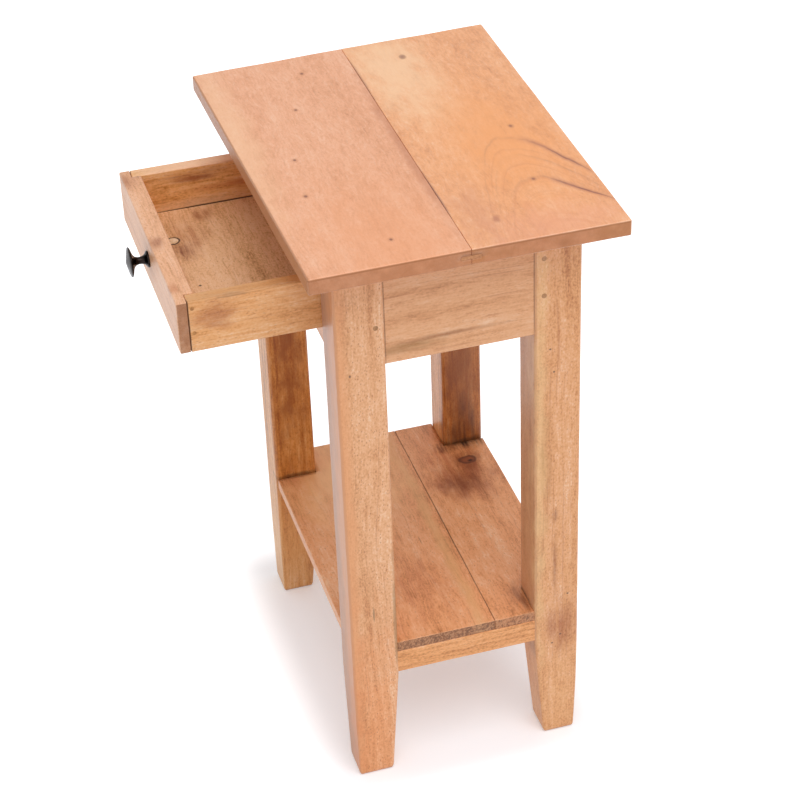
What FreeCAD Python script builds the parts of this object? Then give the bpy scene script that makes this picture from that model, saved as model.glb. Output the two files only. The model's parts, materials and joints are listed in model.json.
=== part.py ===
"""A small telephone table: a two-plank top on four pegged legs, a shelf, and a drawer shown pulled out.

Millimetres. X runs along the drawer front, -Y is the front, Z is up, and the floor is at zero.
The pieces on the right, +X, are modelled, and those on the left are their mirror images.
"""
import FreeCAD, Part
import math
import os

Vector = FreeCAD.Vector
origin = Vector(0, 0, 0)
along_x = Vector(1, 0, 0)
along_y = Vector(0, 1, 0)
along_z = Vector(0, 0, 1)

# Table as a whole
table_height = 520.0
end_overhang = 30.0
edge_overhang = 27.0

# Top of two planks with a loose tongue between them
top_length = 350.0
top_depth = 250.0
top_thickness = 14.0
top_arris = 1.2
seam_arris = 0.5
tongue_width = 16.0
tongue_thickness = 3.0

# Legs: square above the shelf rails, and tapered on the two inner faces below them
leg_section = 37.0
foot_section = 29.0
leg_arris = 2.4
foot_arris = 2.0

# Aprons and front rails, with their tenons
apron_height = 93.0
apron_thickness = 18.0
upper_rail_height = 28.0
lower_rail_height = 19.0
rail_depth = 30.0
face_recess = 1.5
board_arris = 0.8
tenon_thickness = 8.0
tenon_height_share = 0.72
mortise_web = 1.0
mortise_end_gap = 1.0

# Pegs through the tenons
peg_diameter = 4.2
peg_length = 24.0
peg_inset = 6.0
peg_height_shares = (0.375, 0.73)

# Shelf: two boards on a rail at each end
shelf_height = 137.0
shelf_thickness = 10.0
shelf_rail_height = 22.0
shelf_rail_thickness = 18.0
shelf_edge_recess = 1.0
shelf_seam_offset = 25.0
shelf_notch_gap = 0.6
shelf_screw_shares = (0.2, 0.5, 0.85)

# Runners under the drawer sides, and battens that hold the top and stop the drawer from tipping
runner_height = 16.0
kicker_gap = 4.5
runner_screw_share = 0.5
batten_screw_share = 0.25
top_screw_share = 0.6

# Drawer
drawer_opening = 111.0
drawer_side_gap = 1.0
drawer_bottom_gap = 0.3
drawer_top_gap = 1.2
drawer_stop_gap = 0.5
drawer_front_thickness = 16.0
drawer_lip = 8.0
drawer_side_thickness = 12.0
drawer_back_thickness = 12.0
drawer_back_setback = 6.0
drawer_back_drop = 4.0
drawer_back_housing = 4.0
drawer_joint_gap = 0.4
drawer_arris = 0.8
bottom_thickness = 5.0
bottom_raise = 2.5
groove_depth = 5.0
plug_diameter = 9.0
plug_across_share = 0.49
plug_back_share = 0.07

# Knob and its screw
knob_diameter = 25.0
knob_projection = 18.0
knob_base_diameter = 14.5
knob_neck_diameter = 6.6
knob_height_share = 0.52
knob_screw_diameter = 4.0
knob_screw_head_diameter = 8.0
knob_screw_head_height = 2.6
knob_screw_bite = 8.0

# Outline of the knob: how far out its points lie, as shares of the projection
base_edge_share = 0.09
base_curve_share = 0.15
neck_start_share = 0.34
neck_end_share = 0.5
flare_share = 0.69
rim_low_share = 0.755
rim_share = 0.81
rim_high_share = 0.865

# Outline of the knob: how far from the axis, as shares of the radius beside each point
base_waist_share = 0.6
flare_waist_share = 0.45
rim_inset_share = 0.96

# Wood screws and nails
screw_diameter = 4.0
screw_head_diameter = 8.0
screw_head_height = 2.5
screw_point_length = 6.0
screw_bite_share = 0.6
nail_diameter = 1.8
nail_head_diameter = 3.2
nail_head_height = 0.8
nail_length = 30.0
front_nail_shares = (0.375, 0.86)
back_nail_shares = (0.4, 0.78)
bottom_nail_length = 20.0
bottom_nail_shares = (-0.7, 0.0, 0.7)

# Fits: glued joints, fasteners in their holes, and how far a cut runs past a face
joint_clearance = 0.1
hole_clearance = 0.05
cut_overrun = 1.0
same_place = 0.001

# Places that several pieces share
half_length = top_length / 2 - end_overhang
half_depth = top_depth / 2 - edge_overhang
leg_inner_x = half_length - leg_section
leg_inner_y = half_depth - leg_section
top_underside = table_height - top_thickness
apron_low = top_underside - apron_height
apron_face_x = half_length - face_recess
apron_inner_x = apron_face_x - apron_thickness
apron_middle_x = apron_face_x - apron_thickness / 2
apron_face_y = half_depth - face_recess
apron_inner_y = apron_face_y - apron_thickness
apron_middle_y = apron_face_y - apron_thickness / 2
rail_back_y = rail_depth - apron_face_y
rail_middle_y = rail_depth / 2 - apron_face_y
opening_low = apron_low + lower_rail_height
opening_high = top_underside - upper_rail_height
tenon_side = face_recess + (apron_thickness + tenon_thickness) / 2
tenon_length = leg_section - tenon_side - mortise_web - mortise_end_gap
shelf_low = shelf_height - shelf_thickness
shelf_rail_low = shelf_low - shelf_rail_height
shelf_rail_middle_x = apron_face_x - shelf_rail_thickness / 2
between_legs = leg_inner_y - joint_clearance

drawer_low = opening_low + drawer_bottom_gap
drawer_high = opening_high - drawer_top_gap
drawer_height = drawer_high - drawer_low
drawer_half = leg_inner_x - drawer_side_gap
drawer_inner_x = drawer_half - drawer_side_thickness
drawer_length = half_depth + apron_inner_y - drawer_stop_gap
drawer_face_y = -half_depth - drawer_opening
drawer_front_back_y = drawer_face_y + drawer_front_thickness
drawer_end_y = drawer_face_y + drawer_length
drawer_back_face_y = drawer_end_y - drawer_back_setback
drawer_back_inner_y = drawer_back_face_y - drawer_back_thickness
bottom_low = drawer_low + bottom_raise
bottom_high = bottom_low + bottom_thickness
knob_place = Vector(0, drawer_face_y, drawer_low + drawer_height * knob_height_share)
batten_low = drawer_high + kicker_gap


def block(x0, x1, y0, y1, z0, z1):
    """A box between two places on each axis."""
    return Part.makeBox(x1 - x0, y1 - y0, z1 - z0, Vector(x0, y0, z0))


def mirrored(shape):
    """The left-hand twin of a right-hand piece."""
    return shape.mirror(origin, along_x)


def edges_at(shape, **places):
    """The edges of a shape that lie wholly at the given places on the named axes."""
    def lies_there(edge):
        for axis, place in places.items():
            if any(abs(getattr(vertex.Point, axis) - place) > same_place for vertex in edge.Vertexes):
                return False
        return True
    return [edge for edge in shape.Edges if lies_there(edge)]


def eased(shape, radius, lines):
    """A shape with the edges on each of the given lines rounded over, as sandpaper leaves them."""
    edges = [edge for line in lines for edge in edges_at(shape, **line)]
    return shape.makeFillet(radius, edges)


def long_edges(axis_a, places_a, axis_b, places_b):
    """The lines where each place on one axis meets each place on another."""
    return [{axis_a: a, axis_b: b} for a in places_a for b in places_b]


def tenon(along, start, sign, middle, low, height, slack=0.0, extra=0.0):
    """A tenon that leaves the shoulder at start along x or y; slack and extra swell it into its mortise."""
    near, far = sorted((start, start + sign * (tenon_length + extra)))
    half = tenon_thickness / 2 + slack
    tall = height * tenon_height_share / 2 + slack
    centre = low + height / 2
    if along == "x":
        return block(near, far, middle - half, middle + half, centre - tall, centre + tall)
    return block(middle - half, middle + half, near, far, centre - tall, centre + tall)


def mortise(along, start, sign, middle, low, height):
    """The pocket that takes the tenon of the same place and height."""
    return tenon(along, start, sign, middle, low, height, joint_clearance, mortise_end_gap)


def peg(place, direction, slack=0.0):
    """A round peg driven in from the outer face of a leg; slack swells it into its hole."""
    return Part.makeCylinder(peg_diameter / 2 + slack, peg_length + slack, place, direction)


def screw(place, direction, length, slack=0.0):
    """A countersunk wood screw with its head flush at place; slack swells it into its hole."""
    radius = screw_diameter / 2 + slack
    head = Part.makeCone(screw_head_diameter / 2 + slack, radius, screw_head_height, place, direction)
    shank = Part.makeCylinder(radius, length - screw_point_length, place, direction)
    tip = place + direction * (length - screw_point_length)
    point = Part.makeCone(radius, slack, screw_point_length + slack, tip, direction)
    return head.fuse([shank, point]).removeSplitter()


def nail(place, direction, length, slack=0.0):
    """A flat-headed nail with its head flush at place; slack swells it into its hole."""
    head = Part.makeCylinder(nail_head_diameter / 2 + slack, nail_head_height + slack, place, direction)
    shank = Part.makeCylinder(nail_diameter / 2 + slack, length + slack, place, direction)
    return head.fuse(shank).removeSplitter()


def drilled(shape, tools):
    """A piece with the holes of its fasteners."""
    return shape.cut(tools)


def side_peg_places(sign):
    """Where pegs enter the outer side face of the front (-1) or back (+1) right leg."""
    y = sign * (leg_inner_y + peg_inset)
    return [Vector(half_length, y, apron_low + apron_height * share) for share in peg_height_shares]


def back_peg_places():
    """Where pegs enter the back face of the back right leg."""
    x = leg_inner_x + peg_inset
    return [Vector(x, half_depth, apron_low + apron_height * share) for share in peg_height_shares]


def side_peg_holes(sign):
    return [peg(place, -along_x, hole_clearance) for place in side_peg_places(sign)]


def back_peg_holes():
    return [peg(place, -along_y, hole_clearance) for place in back_peg_places()]


def rounded_square(inset, section, z):
    """A leg's outline at one height: the outer corner stays put, and the corners are quarter circles."""
    x0 = half_length - section + inset
    x1 = half_length - inset
    y0 = half_depth - section + inset
    y1 = half_depth - inset
    right_angle = 90
    xs = (x1 - leg_arris, x0 + leg_arris, x0 + leg_arris, x1 - leg_arris)
    ys = (y1 - leg_arris, y1 - leg_arris, y0 + leg_arris, y0 + leg_arris)
    arcs = []
    for quarter, (x, y) in enumerate(zip(xs, ys)):
        start = quarter * right_angle
        arcs.append(Part.makeCircle(leg_arris, Vector(x, y, z), along_z, start, start + right_angle))
    ends = zip(arcs, arcs[1:] + arcs[:1])
    sides = [Part.makeLine(arc.Vertexes[-1].Point, after.Vertexes[0].Point) for arc, after in ends]
    return Part.Wire([edge for pair in zip(arcs, sides) for edge in pair])


def leg_blank():
    """The back right leg before its joints are cut: a loft through four outlines."""
    outlines = [
        rounded_square(foot_arris, foot_section, 0),
        rounded_square(0, foot_section, foot_arris),
        rounded_square(0, leg_section, shelf_rail_low),
        rounded_square(0, leg_section, top_underside),
    ]
    return Part.makeLoft(outlines, True, True)


def side_mortises(sign):
    """The pockets for the side apron and the shelf rail in the front (-1) or back (+1) right leg."""
    start = sign * leg_inner_y
    return [
        mortise("y", start, sign, apron_middle_x, apron_low, apron_height),
        mortise("y", start, sign, shelf_rail_middle_x, shelf_rail_low, shelf_rail_height),
    ]


def back_leg():
    back_pocket = mortise("x", leg_inner_x, 1, apron_middle_y, apron_low, apron_height)
    leg = leg_blank().cut(side_mortises(1) + [back_pocket])
    return drilled(leg, side_peg_holes(1) + back_peg_holes())


def front_leg():
    leg = leg_blank().mirror(origin, along_y)
    pockets = [
        mortise("x", leg_inner_x, 1, rail_middle_y, opening_high, upper_rail_height),
        mortise("x", leg_inner_x, 1, rail_middle_y, apron_low, lower_rail_height),
    ]
    return drilled(leg.cut(side_mortises(-1) + pockets), side_peg_holes(-1))


def side_apron():
    """The right apron, with its grain front to back and a tenon at each end."""
    faces = (apron_inner_x, apron_face_x)
    board = block(*faces, -leg_inner_y, leg_inner_y, apron_low, top_underside)
    board = eased(board, board_arris, long_edges("x", faces, "z", (apron_low,)))
    place = (apron_middle_x, apron_low, apron_height)
    ends = [tenon("y", sign * leg_inner_y, sign, *place) for sign in (-1, 1)]
    board = board.fuse(ends).removeSplitter()
    return drilled(board, side_peg_holes(-1) + side_peg_holes(1) + side_screw_holes())


def back_apron():
    faces = (apron_inner_y, apron_face_y)
    board = block(-leg_inner_x, leg_inner_x, *faces, apron_low, top_underside)
    board = eased(board, board_arris, long_edges("y", faces, "z", (apron_low,)))
    place = (apron_middle_y, apron_low, apron_height)
    ends = [tenon("x", sign * leg_inner_x, sign, *place) for sign in (-1, 1)]
    holes = back_peg_holes()
    return drilled(board.fuse(ends).removeSplitter(), holes + [mirrored(hole) for hole in holes])


def front_rail(low, height):
    """A rail across the front, above or below the drawer."""
    faces = (-apron_face_y, rail_back_y)
    board = block(-leg_inner_x, leg_inner_x, *faces, low, low + height)
    board = eased(board, board_arris, long_edges("y", faces, "z", (low,)))
    place = (rail_middle_y, low, height)
    ends = [tenon("x", sign * leg_inner_x, sign, *place) for sign in (-1, 1)]
    return board.fuse(ends).removeSplitter()


def runner():
    """The right runner: it carries the drawer side and is notched round both legs."""
    inside = leg_inner_x - joint_clearance
    low = opening_low - runner_height
    arm = block(drawer_inner_x, inside, rail_back_y, apron_inner_y, low, opening_low)
    root = block(inside, apron_inner_x, -between_legs, between_legs, low, opening_low)
    return drilled(arm.fuse(root).removeSplitter(), runner_screw_tools(hole_clearance))


def batten():
    """The right batten under the top: screwed to the apron and up into both planks."""
    board = block(drawer_inner_x, apron_inner_x, -between_legs, between_legs, batten_low, top_underside)
    return drilled(board, batten_screw_tools(hole_clearance) + top_screw_tools(hole_clearance))


def side_screw_tools(z, share, slack):
    """Two screws through a strip of wood into the right apron, at a share of the strip's half length."""
    length = apron_inner_x - drawer_inner_x + apron_thickness * screw_bite_share
    places = [Vector(drawer_inner_x, sign * between_legs * share, z) for sign in (-1, 1)]
    return [screw(place, along_x, length, slack) for place in places]


def runner_screw_tools(slack=0.0):
    return side_screw_tools(opening_low - runner_height / 2, runner_screw_share, slack)


def batten_screw_tools(slack=0.0):
    return side_screw_tools((batten_low + top_underside) / 2, batten_screw_share, slack)


def side_screw_holes():
    return runner_screw_tools(hole_clearance) + batten_screw_tools(hole_clearance)


def top_screw_tools(slack=0.0):
    """One screw up through the right batten into each plank."""
    x = (drawer_inner_x + apron_inner_x) / 2
    length = top_underside - batten_low + top_thickness * screw_bite_share
    places = [Vector(x, sign * between_legs * top_screw_share, batten_low) for sign in (-1, 1)]
    return [screw(place, along_z, length, slack) for place in places]


def top_plank(sign):
    """The front (-1) or back (+1) plank, grooved for the tongue along the seam in the middle."""
    edge = sign * top_depth / 2
    half = top_length / 2
    low, high = sorted((edge, 0))
    plank = block(-half, half, low, high, top_underside, table_height)
    rims = [{"y": edge, "z": z} for z in (top_underside, table_height)]
    rims += long_edges("x", (-half, half), "z", (top_underside, table_height))
    rims += long_edges("x", (-half, half), "y", (edge,))
    plank = eased(plank, top_arris, rims)
    plank = plank.cut(seam_bevel(sign))
    groove = tongue_shape(joint_clearance, cut_overrun)
    screws = top_screw_tools(hole_clearance)
    return drilled(plank, [groove] + screws + [mirrored(tool) for tool in screws])


def seam_bevel(sign):
    """The sliver planed off a plank's upper arris along the seam."""
    start = -top_length / 2 - cut_overrun
    corner = Vector(start, 0, table_height)
    across = Vector(start, sign * seam_arris, table_height)
    down = Vector(start, 0, table_height - seam_arris)
    outline = Part.makePolygon([corner, across, down, corner])
    return Part.Face(outline).extrude(along_x * (top_length + cut_overrun + cut_overrun))


def tongue_shape(slack=0.0, overrun=0.0):
    """The loose tongue at mid thickness of the top; slack and overrun swell it into its groove."""
    half = top_length / 2 + overrun
    wide = tongue_width / 2 + slack
    tall = tongue_thickness / 2 + slack
    middle = top_underside + top_thickness / 2
    return block(-half, half, -wide, wide, middle - tall, middle + tall)


def shelf_rail():
    """The right shelf rail, with its grain front to back and a tenon at each end."""
    faces = (apron_face_x - shelf_rail_thickness, apron_face_x)
    board = block(*faces, -leg_inner_y, leg_inner_y, shelf_rail_low, shelf_low)
    board = eased(board, board_arris, long_edges("x", faces, "z", (shelf_rail_low,)))
    place = (shelf_rail_middle_x, shelf_rail_low, shelf_rail_height)
    ends = [tenon("y", sign * leg_inner_y, sign, *place) for sign in (-1, 1)]
    return drilled(board.fuse(ends).removeSplitter(), shelf_screw_tools(hole_clearance))


def shelf_screw_tools(slack=0.0):
    """Screws up through the right shelf rail into the boards, at shares of the rail's length."""
    length = shelf_rail_height + shelf_thickness * screw_bite_share
    ys = [leg_inner_y * (share + share - 1) for share in shelf_screw_shares]
    return [screw(Vector(shelf_rail_middle_x, y, shelf_rail_low), along_z, length, slack) for y in ys]


def shelf_board(sign):
    """The front (-1) or back (+1) shelf board, notched round two legs."""
    edge = sign * (half_depth - shelf_edge_recess)
    low, high = sorted((edge, shelf_seam_offset))
    board = block(-apron_face_x, apron_face_x, low, high, shelf_low, shelf_height)
    rims = [{"y": edge, "z": z} for z in (shelf_low, shelf_height)]
    rims += [{"y": shelf_seam_offset, "z": shelf_height}]
    board = eased(board, board_arris, rims)
    notch_x = leg_inner_x - shelf_notch_gap
    notch_y, beyond = sorted((sign * (leg_inner_y - shelf_notch_gap), sign * (half_depth + cut_overrun)))
    past = half_length + cut_overrun
    notch = block(notch_x, past, notch_y, beyond, shelf_low - cut_overrun, shelf_height + cut_overrun)
    screws = shelf_screw_tools(hole_clearance)
    tools = [notch] + screws
    return drilled(board, tools + [mirrored(tool) for tool in tools])


def drawer_front():
    """The drawer front: rabbeted at both ends for the sides and grooved for the bottom."""
    board = block(-drawer_half, drawer_half, drawer_face_y, drawer_front_back_y, drawer_low, drawer_high)
    rims = long_edges("y", (drawer_face_y,), "z", (drawer_low, drawer_high))
    rims += long_edges("x", (-drawer_half, drawer_half), "y", (drawer_face_y,))
    board = eased(board, drawer_arris, rims)
    past = drawer_half + cut_overrun
    lip_y = drawer_face_y + drawer_lip
    back = drawer_front_back_y + cut_overrun
    rabbet = block(drawer_inner_x, past, lip_y, back, drawer_low - cut_overrun, drawer_high + cut_overrun)
    nails = front_nail_tools(hole_clearance)
    tools = [rabbet, mirrored(rabbet), bottom_panel_shape(joint_clearance)]
    tools += nails + [mirrored(tool) for tool in nails]
    tools += [knob_screw_shape(hole_clearance)]
    return drilled(board, tools)


def drawer_side():
    """The right drawer side: let into the front's rabbet, grooved for the bottom, housed for the back."""
    start = drawer_face_y + drawer_lip + drawer_joint_gap
    board = block(drawer_inner_x, drawer_half, start, drawer_end_y, drawer_low, drawer_high)
    faces = (drawer_inner_x, drawer_half)
    board = eased(board, drawer_arris, long_edges("x", faces, "z", (drawer_high,)))
    tools = [bottom_groove(), drawer_back_shape(joint_clearance)]
    return drilled(board, tools + front_nail_tools(hole_clearance) + back_nail_tools(hole_clearance))


def bottom_groove():
    """The groove for the bottom panel, run the whole length of the right drawer side."""
    slack = joint_clearance
    past = drawer_end_y + cut_overrun
    inner = drawer_inner_x - cut_overrun
    outer = drawer_inner_x + groove_depth
    return block(inner, outer, drawer_face_y, past, bottom_low - slack, bottom_high + slack)


def drawer_back_shape(slack=0.0):
    """The drawer back, standing on the bottom panel; slack swells it into the sides' housings."""
    half = drawer_inner_x + drawer_back_housing - joint_clearance + slack
    inner = drawer_back_inner_y - slack
    outer = drawer_back_face_y + slack
    return block(-half, half, inner, outer, bottom_high, drawer_high - drawer_back_drop + slack)


def drawer_back():
    nails = back_nail_tools(hole_clearance)
    tools = nails + [mirrored(tool) for tool in nails] + bottom_nail_tools(hole_clearance)
    return drilled(drawer_back_shape(), tools)


def bottom_panel_shape(slack=0.0):
    """The bottom panel, held in grooves on three sides; slack swells it into the front's groove."""
    half = drawer_inner_x + groove_depth - joint_clearance - joint_clearance
    front = drawer_front_back_y - groove_depth + joint_clearance - slack
    return block(-half, half, front, drawer_back_face_y, bottom_low - slack, bottom_high + slack)


def plug(slack=0.0):
    """A round plug let into the bottom panel near the front."""
    x = -drawer_inner_x * plug_across_share
    y = drawer_front_back_y + drawer_length * plug_back_share
    return Part.makeCylinder(plug_diameter / 2 + slack, bottom_thickness, Vector(x, y, bottom_low), along_z)


def drawer_bottom():
    return drilled(bottom_panel_shape(), [plug(hole_clearance)] + bottom_nail_tools(hole_clearance))


def side_nail_tools(y, shares, slack):
    """Nails through the right drawer side at one place along it, at shares of its height."""
    places = [Vector(drawer_half, y, drawer_low + drawer_height * share) for share in shares]
    return [nail(place, -along_x, nail_length, slack) for place in places]


def front_nail_tools(slack=0.0):
    rabbet_middle = (drawer_face_y + drawer_lip + drawer_front_back_y) / 2
    return side_nail_tools(rabbet_middle, front_nail_shares, slack)


def back_nail_tools(slack=0.0):
    return side_nail_tools((drawer_back_inner_y + drawer_back_face_y) / 2, back_nail_shares, slack)


def bottom_nail_tools(slack=0.0):
    """Nails up through the bottom panel into the lower edge of the drawer back."""
    y = (drawer_back_inner_y + drawer_back_face_y) / 2
    places = [Vector(drawer_inner_x * share, y, bottom_low) for share in bottom_nail_shares]
    return [nail(place, along_z, bottom_nail_length, slack) for place in places]


def knob():
    """The turned knob: a base on the drawer front, a waisted neck and a mushroom head with a round dome."""
    base = knob_base_diameter / 2
    neck = knob_neck_diameter / 2
    head = knob_diameter / 2
    rim = head * rim_inset_share

    def at(radius, share):
        return knob_place + Vector(radius, -knob_projection * share, 0)

    dome_height = knob_projection * (1 - rim_high_share)
    dome_radius = (rim * rim + dome_height * dome_height) / (dome_height + dome_height)
    half_angle = math.asin(rim / dome_radius) / 2
    dome_centre = at(0, 1) + along_y * dome_radius
    dome_middle = dome_centre + Vector(math.sin(half_angle), -math.cos(half_angle), 0) * dome_radius
    corner = at(base, base_edge_share)
    waist = at(neck, neck_start_share)
    flare = at(neck, neck_end_share)
    rim_low = at(rim, rim_low_share)
    rim_high = at(rim, rim_high_share)
    crown = at(0, 1)
    edges = [
        Part.makeLine(knob_place, at(base, 0)),
        Part.makeLine(at(base, 0), corner),
        Part.Arc(corner, at(base * base_waist_share, base_curve_share), waist).toShape(),
        Part.makeLine(waist, flare),
        Part.Arc(flare, at(head * flare_waist_share, flare_share), rim_low).toShape(),
        Part.Arc(rim_low, at(head, rim_share), rim_high).toShape(),
        Part.Arc(rim_high, dome_middle, crown).toShape(),
        Part.makeLine(crown, knob_place),
    ]
    full_turn = 360
    body = Part.Face(Part.Wire(edges)).revolve(knob_place, along_y, full_turn)
    return drilled(body, [knob_screw_shape(hole_clearance)])


def knob_screw_shape(slack=0.0):
    """The machine screw from inside the drawer into the knob; slack swells it into its hole."""
    start = Vector(knob_place.x, drawer_front_back_y, knob_place.z)
    reach = drawer_front_thickness + knob_screw_bite + slack
    shank = Part.makeCylinder(knob_screw_diameter / 2 + slack, reach, start, -along_y)
    head = Part.makeCylinder(knob_screw_head_diameter / 2, knob_screw_head_height, start, along_y)
    return shank.fuse(head).removeSplitter()


def both_sides(shapes):
    """A group of separate fasteners on the right and their twins on the left."""
    return Part.makeCompound(shapes + [mirrored(shape) for shape in shapes])


def side_pegs():
    return [peg(place, -along_x) for sign in (-1, 1) for place in side_peg_places(sign)]


def back_pegs():
    return [peg(place, -along_y) for place in back_peg_places()]


pieces = {
    "top_front_plank": top_plank(-1),
    "top_back_plank": top_plank(1),
    "top_tongue": tongue_shape(),
    "back_apron": back_apron(),
    "front_upper_rail": front_rail(opening_high, upper_rail_height),
    "front_lower_rail": front_rail(apron_low, lower_rail_height),
    "shelf_front_board": shelf_board(-1),
    "shelf_back_board": shelf_board(1),
    "side_apron_pegs": both_sides(side_pegs()),
    "back_apron_pegs": both_sides(back_pegs()),
    "runner_screws": both_sides(runner_screw_tools()),
    "batten_screws": both_sides(batten_screw_tools()),
    "top_screws": both_sides(top_screw_tools()),
    "shelf_screws": both_sides(shelf_screw_tools()),
    "drawer_front": drawer_front(),
    "drawer_back": drawer_back(),
    "drawer_bottom": drawer_bottom(),
    "drawer_bottom_plug": plug(),
    "drawer_knob": knob(),
    "knob_screw": knob_screw_shape(),
    "drawer_front_nails": both_sides(front_nail_tools()),
    "drawer_back_nails": both_sides(back_nail_tools()),
    "drawer_bottom_nails": Part.makeCompound(bottom_nail_tools()),
}
right_hand = {
    "leg_front": front_leg(),
    "leg_back": back_leg(),
    "side_apron": side_apron(),
    "drawer_runner": runner(),
    "top_batten": batten(),
    "shelf_rail": shelf_rail(),
    "drawer_side": drawer_side(),
}
for name, shape in right_hand.items():
    pieces[name + "_right"] = shape
    pieces[name + "_left"] = mirrored(shape)

os.makedirs("parts", exist_ok=True)
for name, shape in pieces.items():
    shape.exportStep("parts/" + name + ".step")
print(len(pieces), "pieces,", sum(len(shape.Solids) for shape in pieces.values()), "solids")
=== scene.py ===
import json

import bpy
import numpy as np
from mathutils import Matrix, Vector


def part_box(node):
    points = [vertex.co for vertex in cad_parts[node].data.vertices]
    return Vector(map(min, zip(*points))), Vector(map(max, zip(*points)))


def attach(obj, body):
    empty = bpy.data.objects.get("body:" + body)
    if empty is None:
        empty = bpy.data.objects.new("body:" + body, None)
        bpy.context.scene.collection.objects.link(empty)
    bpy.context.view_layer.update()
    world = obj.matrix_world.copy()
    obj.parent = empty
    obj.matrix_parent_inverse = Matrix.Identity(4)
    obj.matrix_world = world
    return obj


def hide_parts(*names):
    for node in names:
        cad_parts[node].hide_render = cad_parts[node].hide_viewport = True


# %% [markdown]
# # A small telephone table, dressed in oiled wood
# The CAD model gives every piece its size and place, and it stays the fixed frame of this lesson.
# Here each visible board gets what a drawing leaves out: hand-softened arrises, faces that a plane left a
# little uneven, and wood whose grain runs the way the maker laid it.
# All sizes below are in millimetres and become metres in the last step of each mesh, because Blender's
# frame is in metres.

# %% Load the frame
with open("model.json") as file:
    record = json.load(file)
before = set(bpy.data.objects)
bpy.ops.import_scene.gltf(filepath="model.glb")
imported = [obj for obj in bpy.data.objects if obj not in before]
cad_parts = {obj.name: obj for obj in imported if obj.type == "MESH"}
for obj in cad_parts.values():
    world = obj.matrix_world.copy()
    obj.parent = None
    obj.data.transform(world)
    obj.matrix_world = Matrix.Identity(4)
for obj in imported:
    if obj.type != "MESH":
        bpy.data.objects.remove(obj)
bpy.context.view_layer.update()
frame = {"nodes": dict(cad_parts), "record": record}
MILLIMETRE = 0.001
node_slots = {entry["node"]: entry["material_slot"] for entry in frame["record"]["subparts"]}
node_bodies = {node: body for body, nodes in frame["record"]["behaviour"]["bodies"].items() for node in nodes}


def cad_corners(node):
    """The lowest and highest corner of a CAD node, in millimetres."""
    low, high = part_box(node)
    return np.array(low) / MILLIMETRE, np.array(high) / MILLIMETRE


# %% [markdown]
# ## The camera
# The photograph was taken from above the right-hand end of the table, with a long lens, so lines that are
# parallel on the table stay nearly parallel in the picture. A camera could be turned by hand until it looks
# right. Here its place is worked out from a direction, a distance and the point it looks at, which were
# solved from the corners of the table, so the match holds everywhere in the frame.

# %% Place the camera
SENSOR_WIDTH = 36.0
LENS = 105.45
CAMERA_AZIMUTH = 74.34
CAMERA_ELEVATION = 34.63
CAMERA_DISTANCE = 1895.75
CAMERA_ROLL = -2.27
CAMERA_TARGET = np.array([65.61, -27.88, 321.92])
CLIP_END = 20.0


def level_axes(backward):
    """The right and up directions of something level that looks against backward: both are square to it."""
    right = np.cross([0.0, 0.0, 1.0], backward)
    right /= np.linalg.norm(right)
    return right, np.cross(backward, right)


def stand(name, data, eye, axes):
    """A camera or lamp at a place in metres, turned so that its right, up and back lie along the axes."""
    thing = bpy.data.objects.new(name, data)
    thing.matrix_world = Matrix.Translation(eye.tolist()) @ Matrix(np.column_stack(axes).tolist()).to_4x4()
    bpy.context.scene.collection.objects.link(thing)
    return thing


a, e, r = np.radians([CAMERA_AZIMUTH, CAMERA_ELEVATION, CAMERA_ROLL])
backward = np.array([np.sin(a) * np.cos(e), -np.cos(a) * np.cos(e), np.sin(e)])
right, up = level_axes(backward)
rolled = [np.cos(r) * right + np.sin(r) * up, np.cos(r) * up - np.sin(r) * right, backward]
eye = (CAMERA_TARGET + backward * CAMERA_DISTANCE) * MILLIMETRE
camera_data = bpy.data.cameras.new("photograph_camera")
camera_data.sensor_width = SENSOR_WIDTH
camera_data.lens = LENS
camera_data.clip_end = CLIP_END
bpy.context.scene.camera = stand("photograph_camera", camera_data, eye, rolled)
print("camera at", np.round(eye, 3))

# %% [markdown]
# ## Colours and nodes
# A colour is written as the hex value that one would pick on a screen. Shaders add and multiply light, so they
# need linear values, and one function turns the one into the other. A second small function adds any shader
# node with its settings and links, which keeps a material readable as a list of steps. Settings that come back
# often get a name, and a third function gives an empty material to start from.

# %% Small helpers for materials
TIMES = {"operation": "MULTIPLY"}
TIMES_PLUS = {"operation": "MULTIPLY_ADD"}
LESS = {"operation": "SUBTRACT"}
SMOOTH = {"interpolation_type": "SMOOTHSTEP"}
COLOUR_MIX = {"data_type": "RGBA"}


def linear(hex_colour):
    """An sRGB hex colour as linear red, green, blue and an opaque alpha."""
    s = np.array([int(hex_colour[i:i + 2], 16) for i in (1, 3, 5)]) / 255
    channels = np.where(s <= 0.04045, s / 12.92, ((s + 0.055) / 1.055) ** 2.4)
    return (*channels.tolist(), 1.0)


def add(tree, kind, inputs=None, **settings):
    """Adds one shader node and returns its first output. Inputs are named or numbered sockets with a value or
    the output that feeds them, and settings are the node's own properties."""
    node = tree.nodes.new("ShaderNode" + kind)
    for name, value in settings.items():
        setattr(node, name, value)
    for key, value in (inputs or {}).items():
        named = [s for s in node.inputs if s.enabled and s.name == key]
        socket = node.inputs[key] if isinstance(key, int) else named[0]
        if isinstance(value, bpy.types.NodeSocket):
            tree.links.new(value, socket)
        else:
            socket.default_value = value
    shown = [s for s in node.outputs if s.enabled]
    return shown[0] if shown else None


def new_material(name):
    """An empty node material and its tree."""
    material = bpy.data.materials.new(name)
    material.use_nodes = True
    material.node_tree.nodes.clear()
    return material, material.node_tree


print("a mid grey of #808080 is", round(linear("#808080")[0], 3), "in linear light")

# %% [markdown]
# ## The white studio
# The table stands in a white sweep with light from all round and one broad lamp high over its right-hand end.
# Together they light the top at about strength one, at which a colour renders about as it is written. What the
# camera and glossy surfaces see of the surroundings is set to white apart from that, through the Light Path
# node, so the background can be white without more light on the wood.

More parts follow.
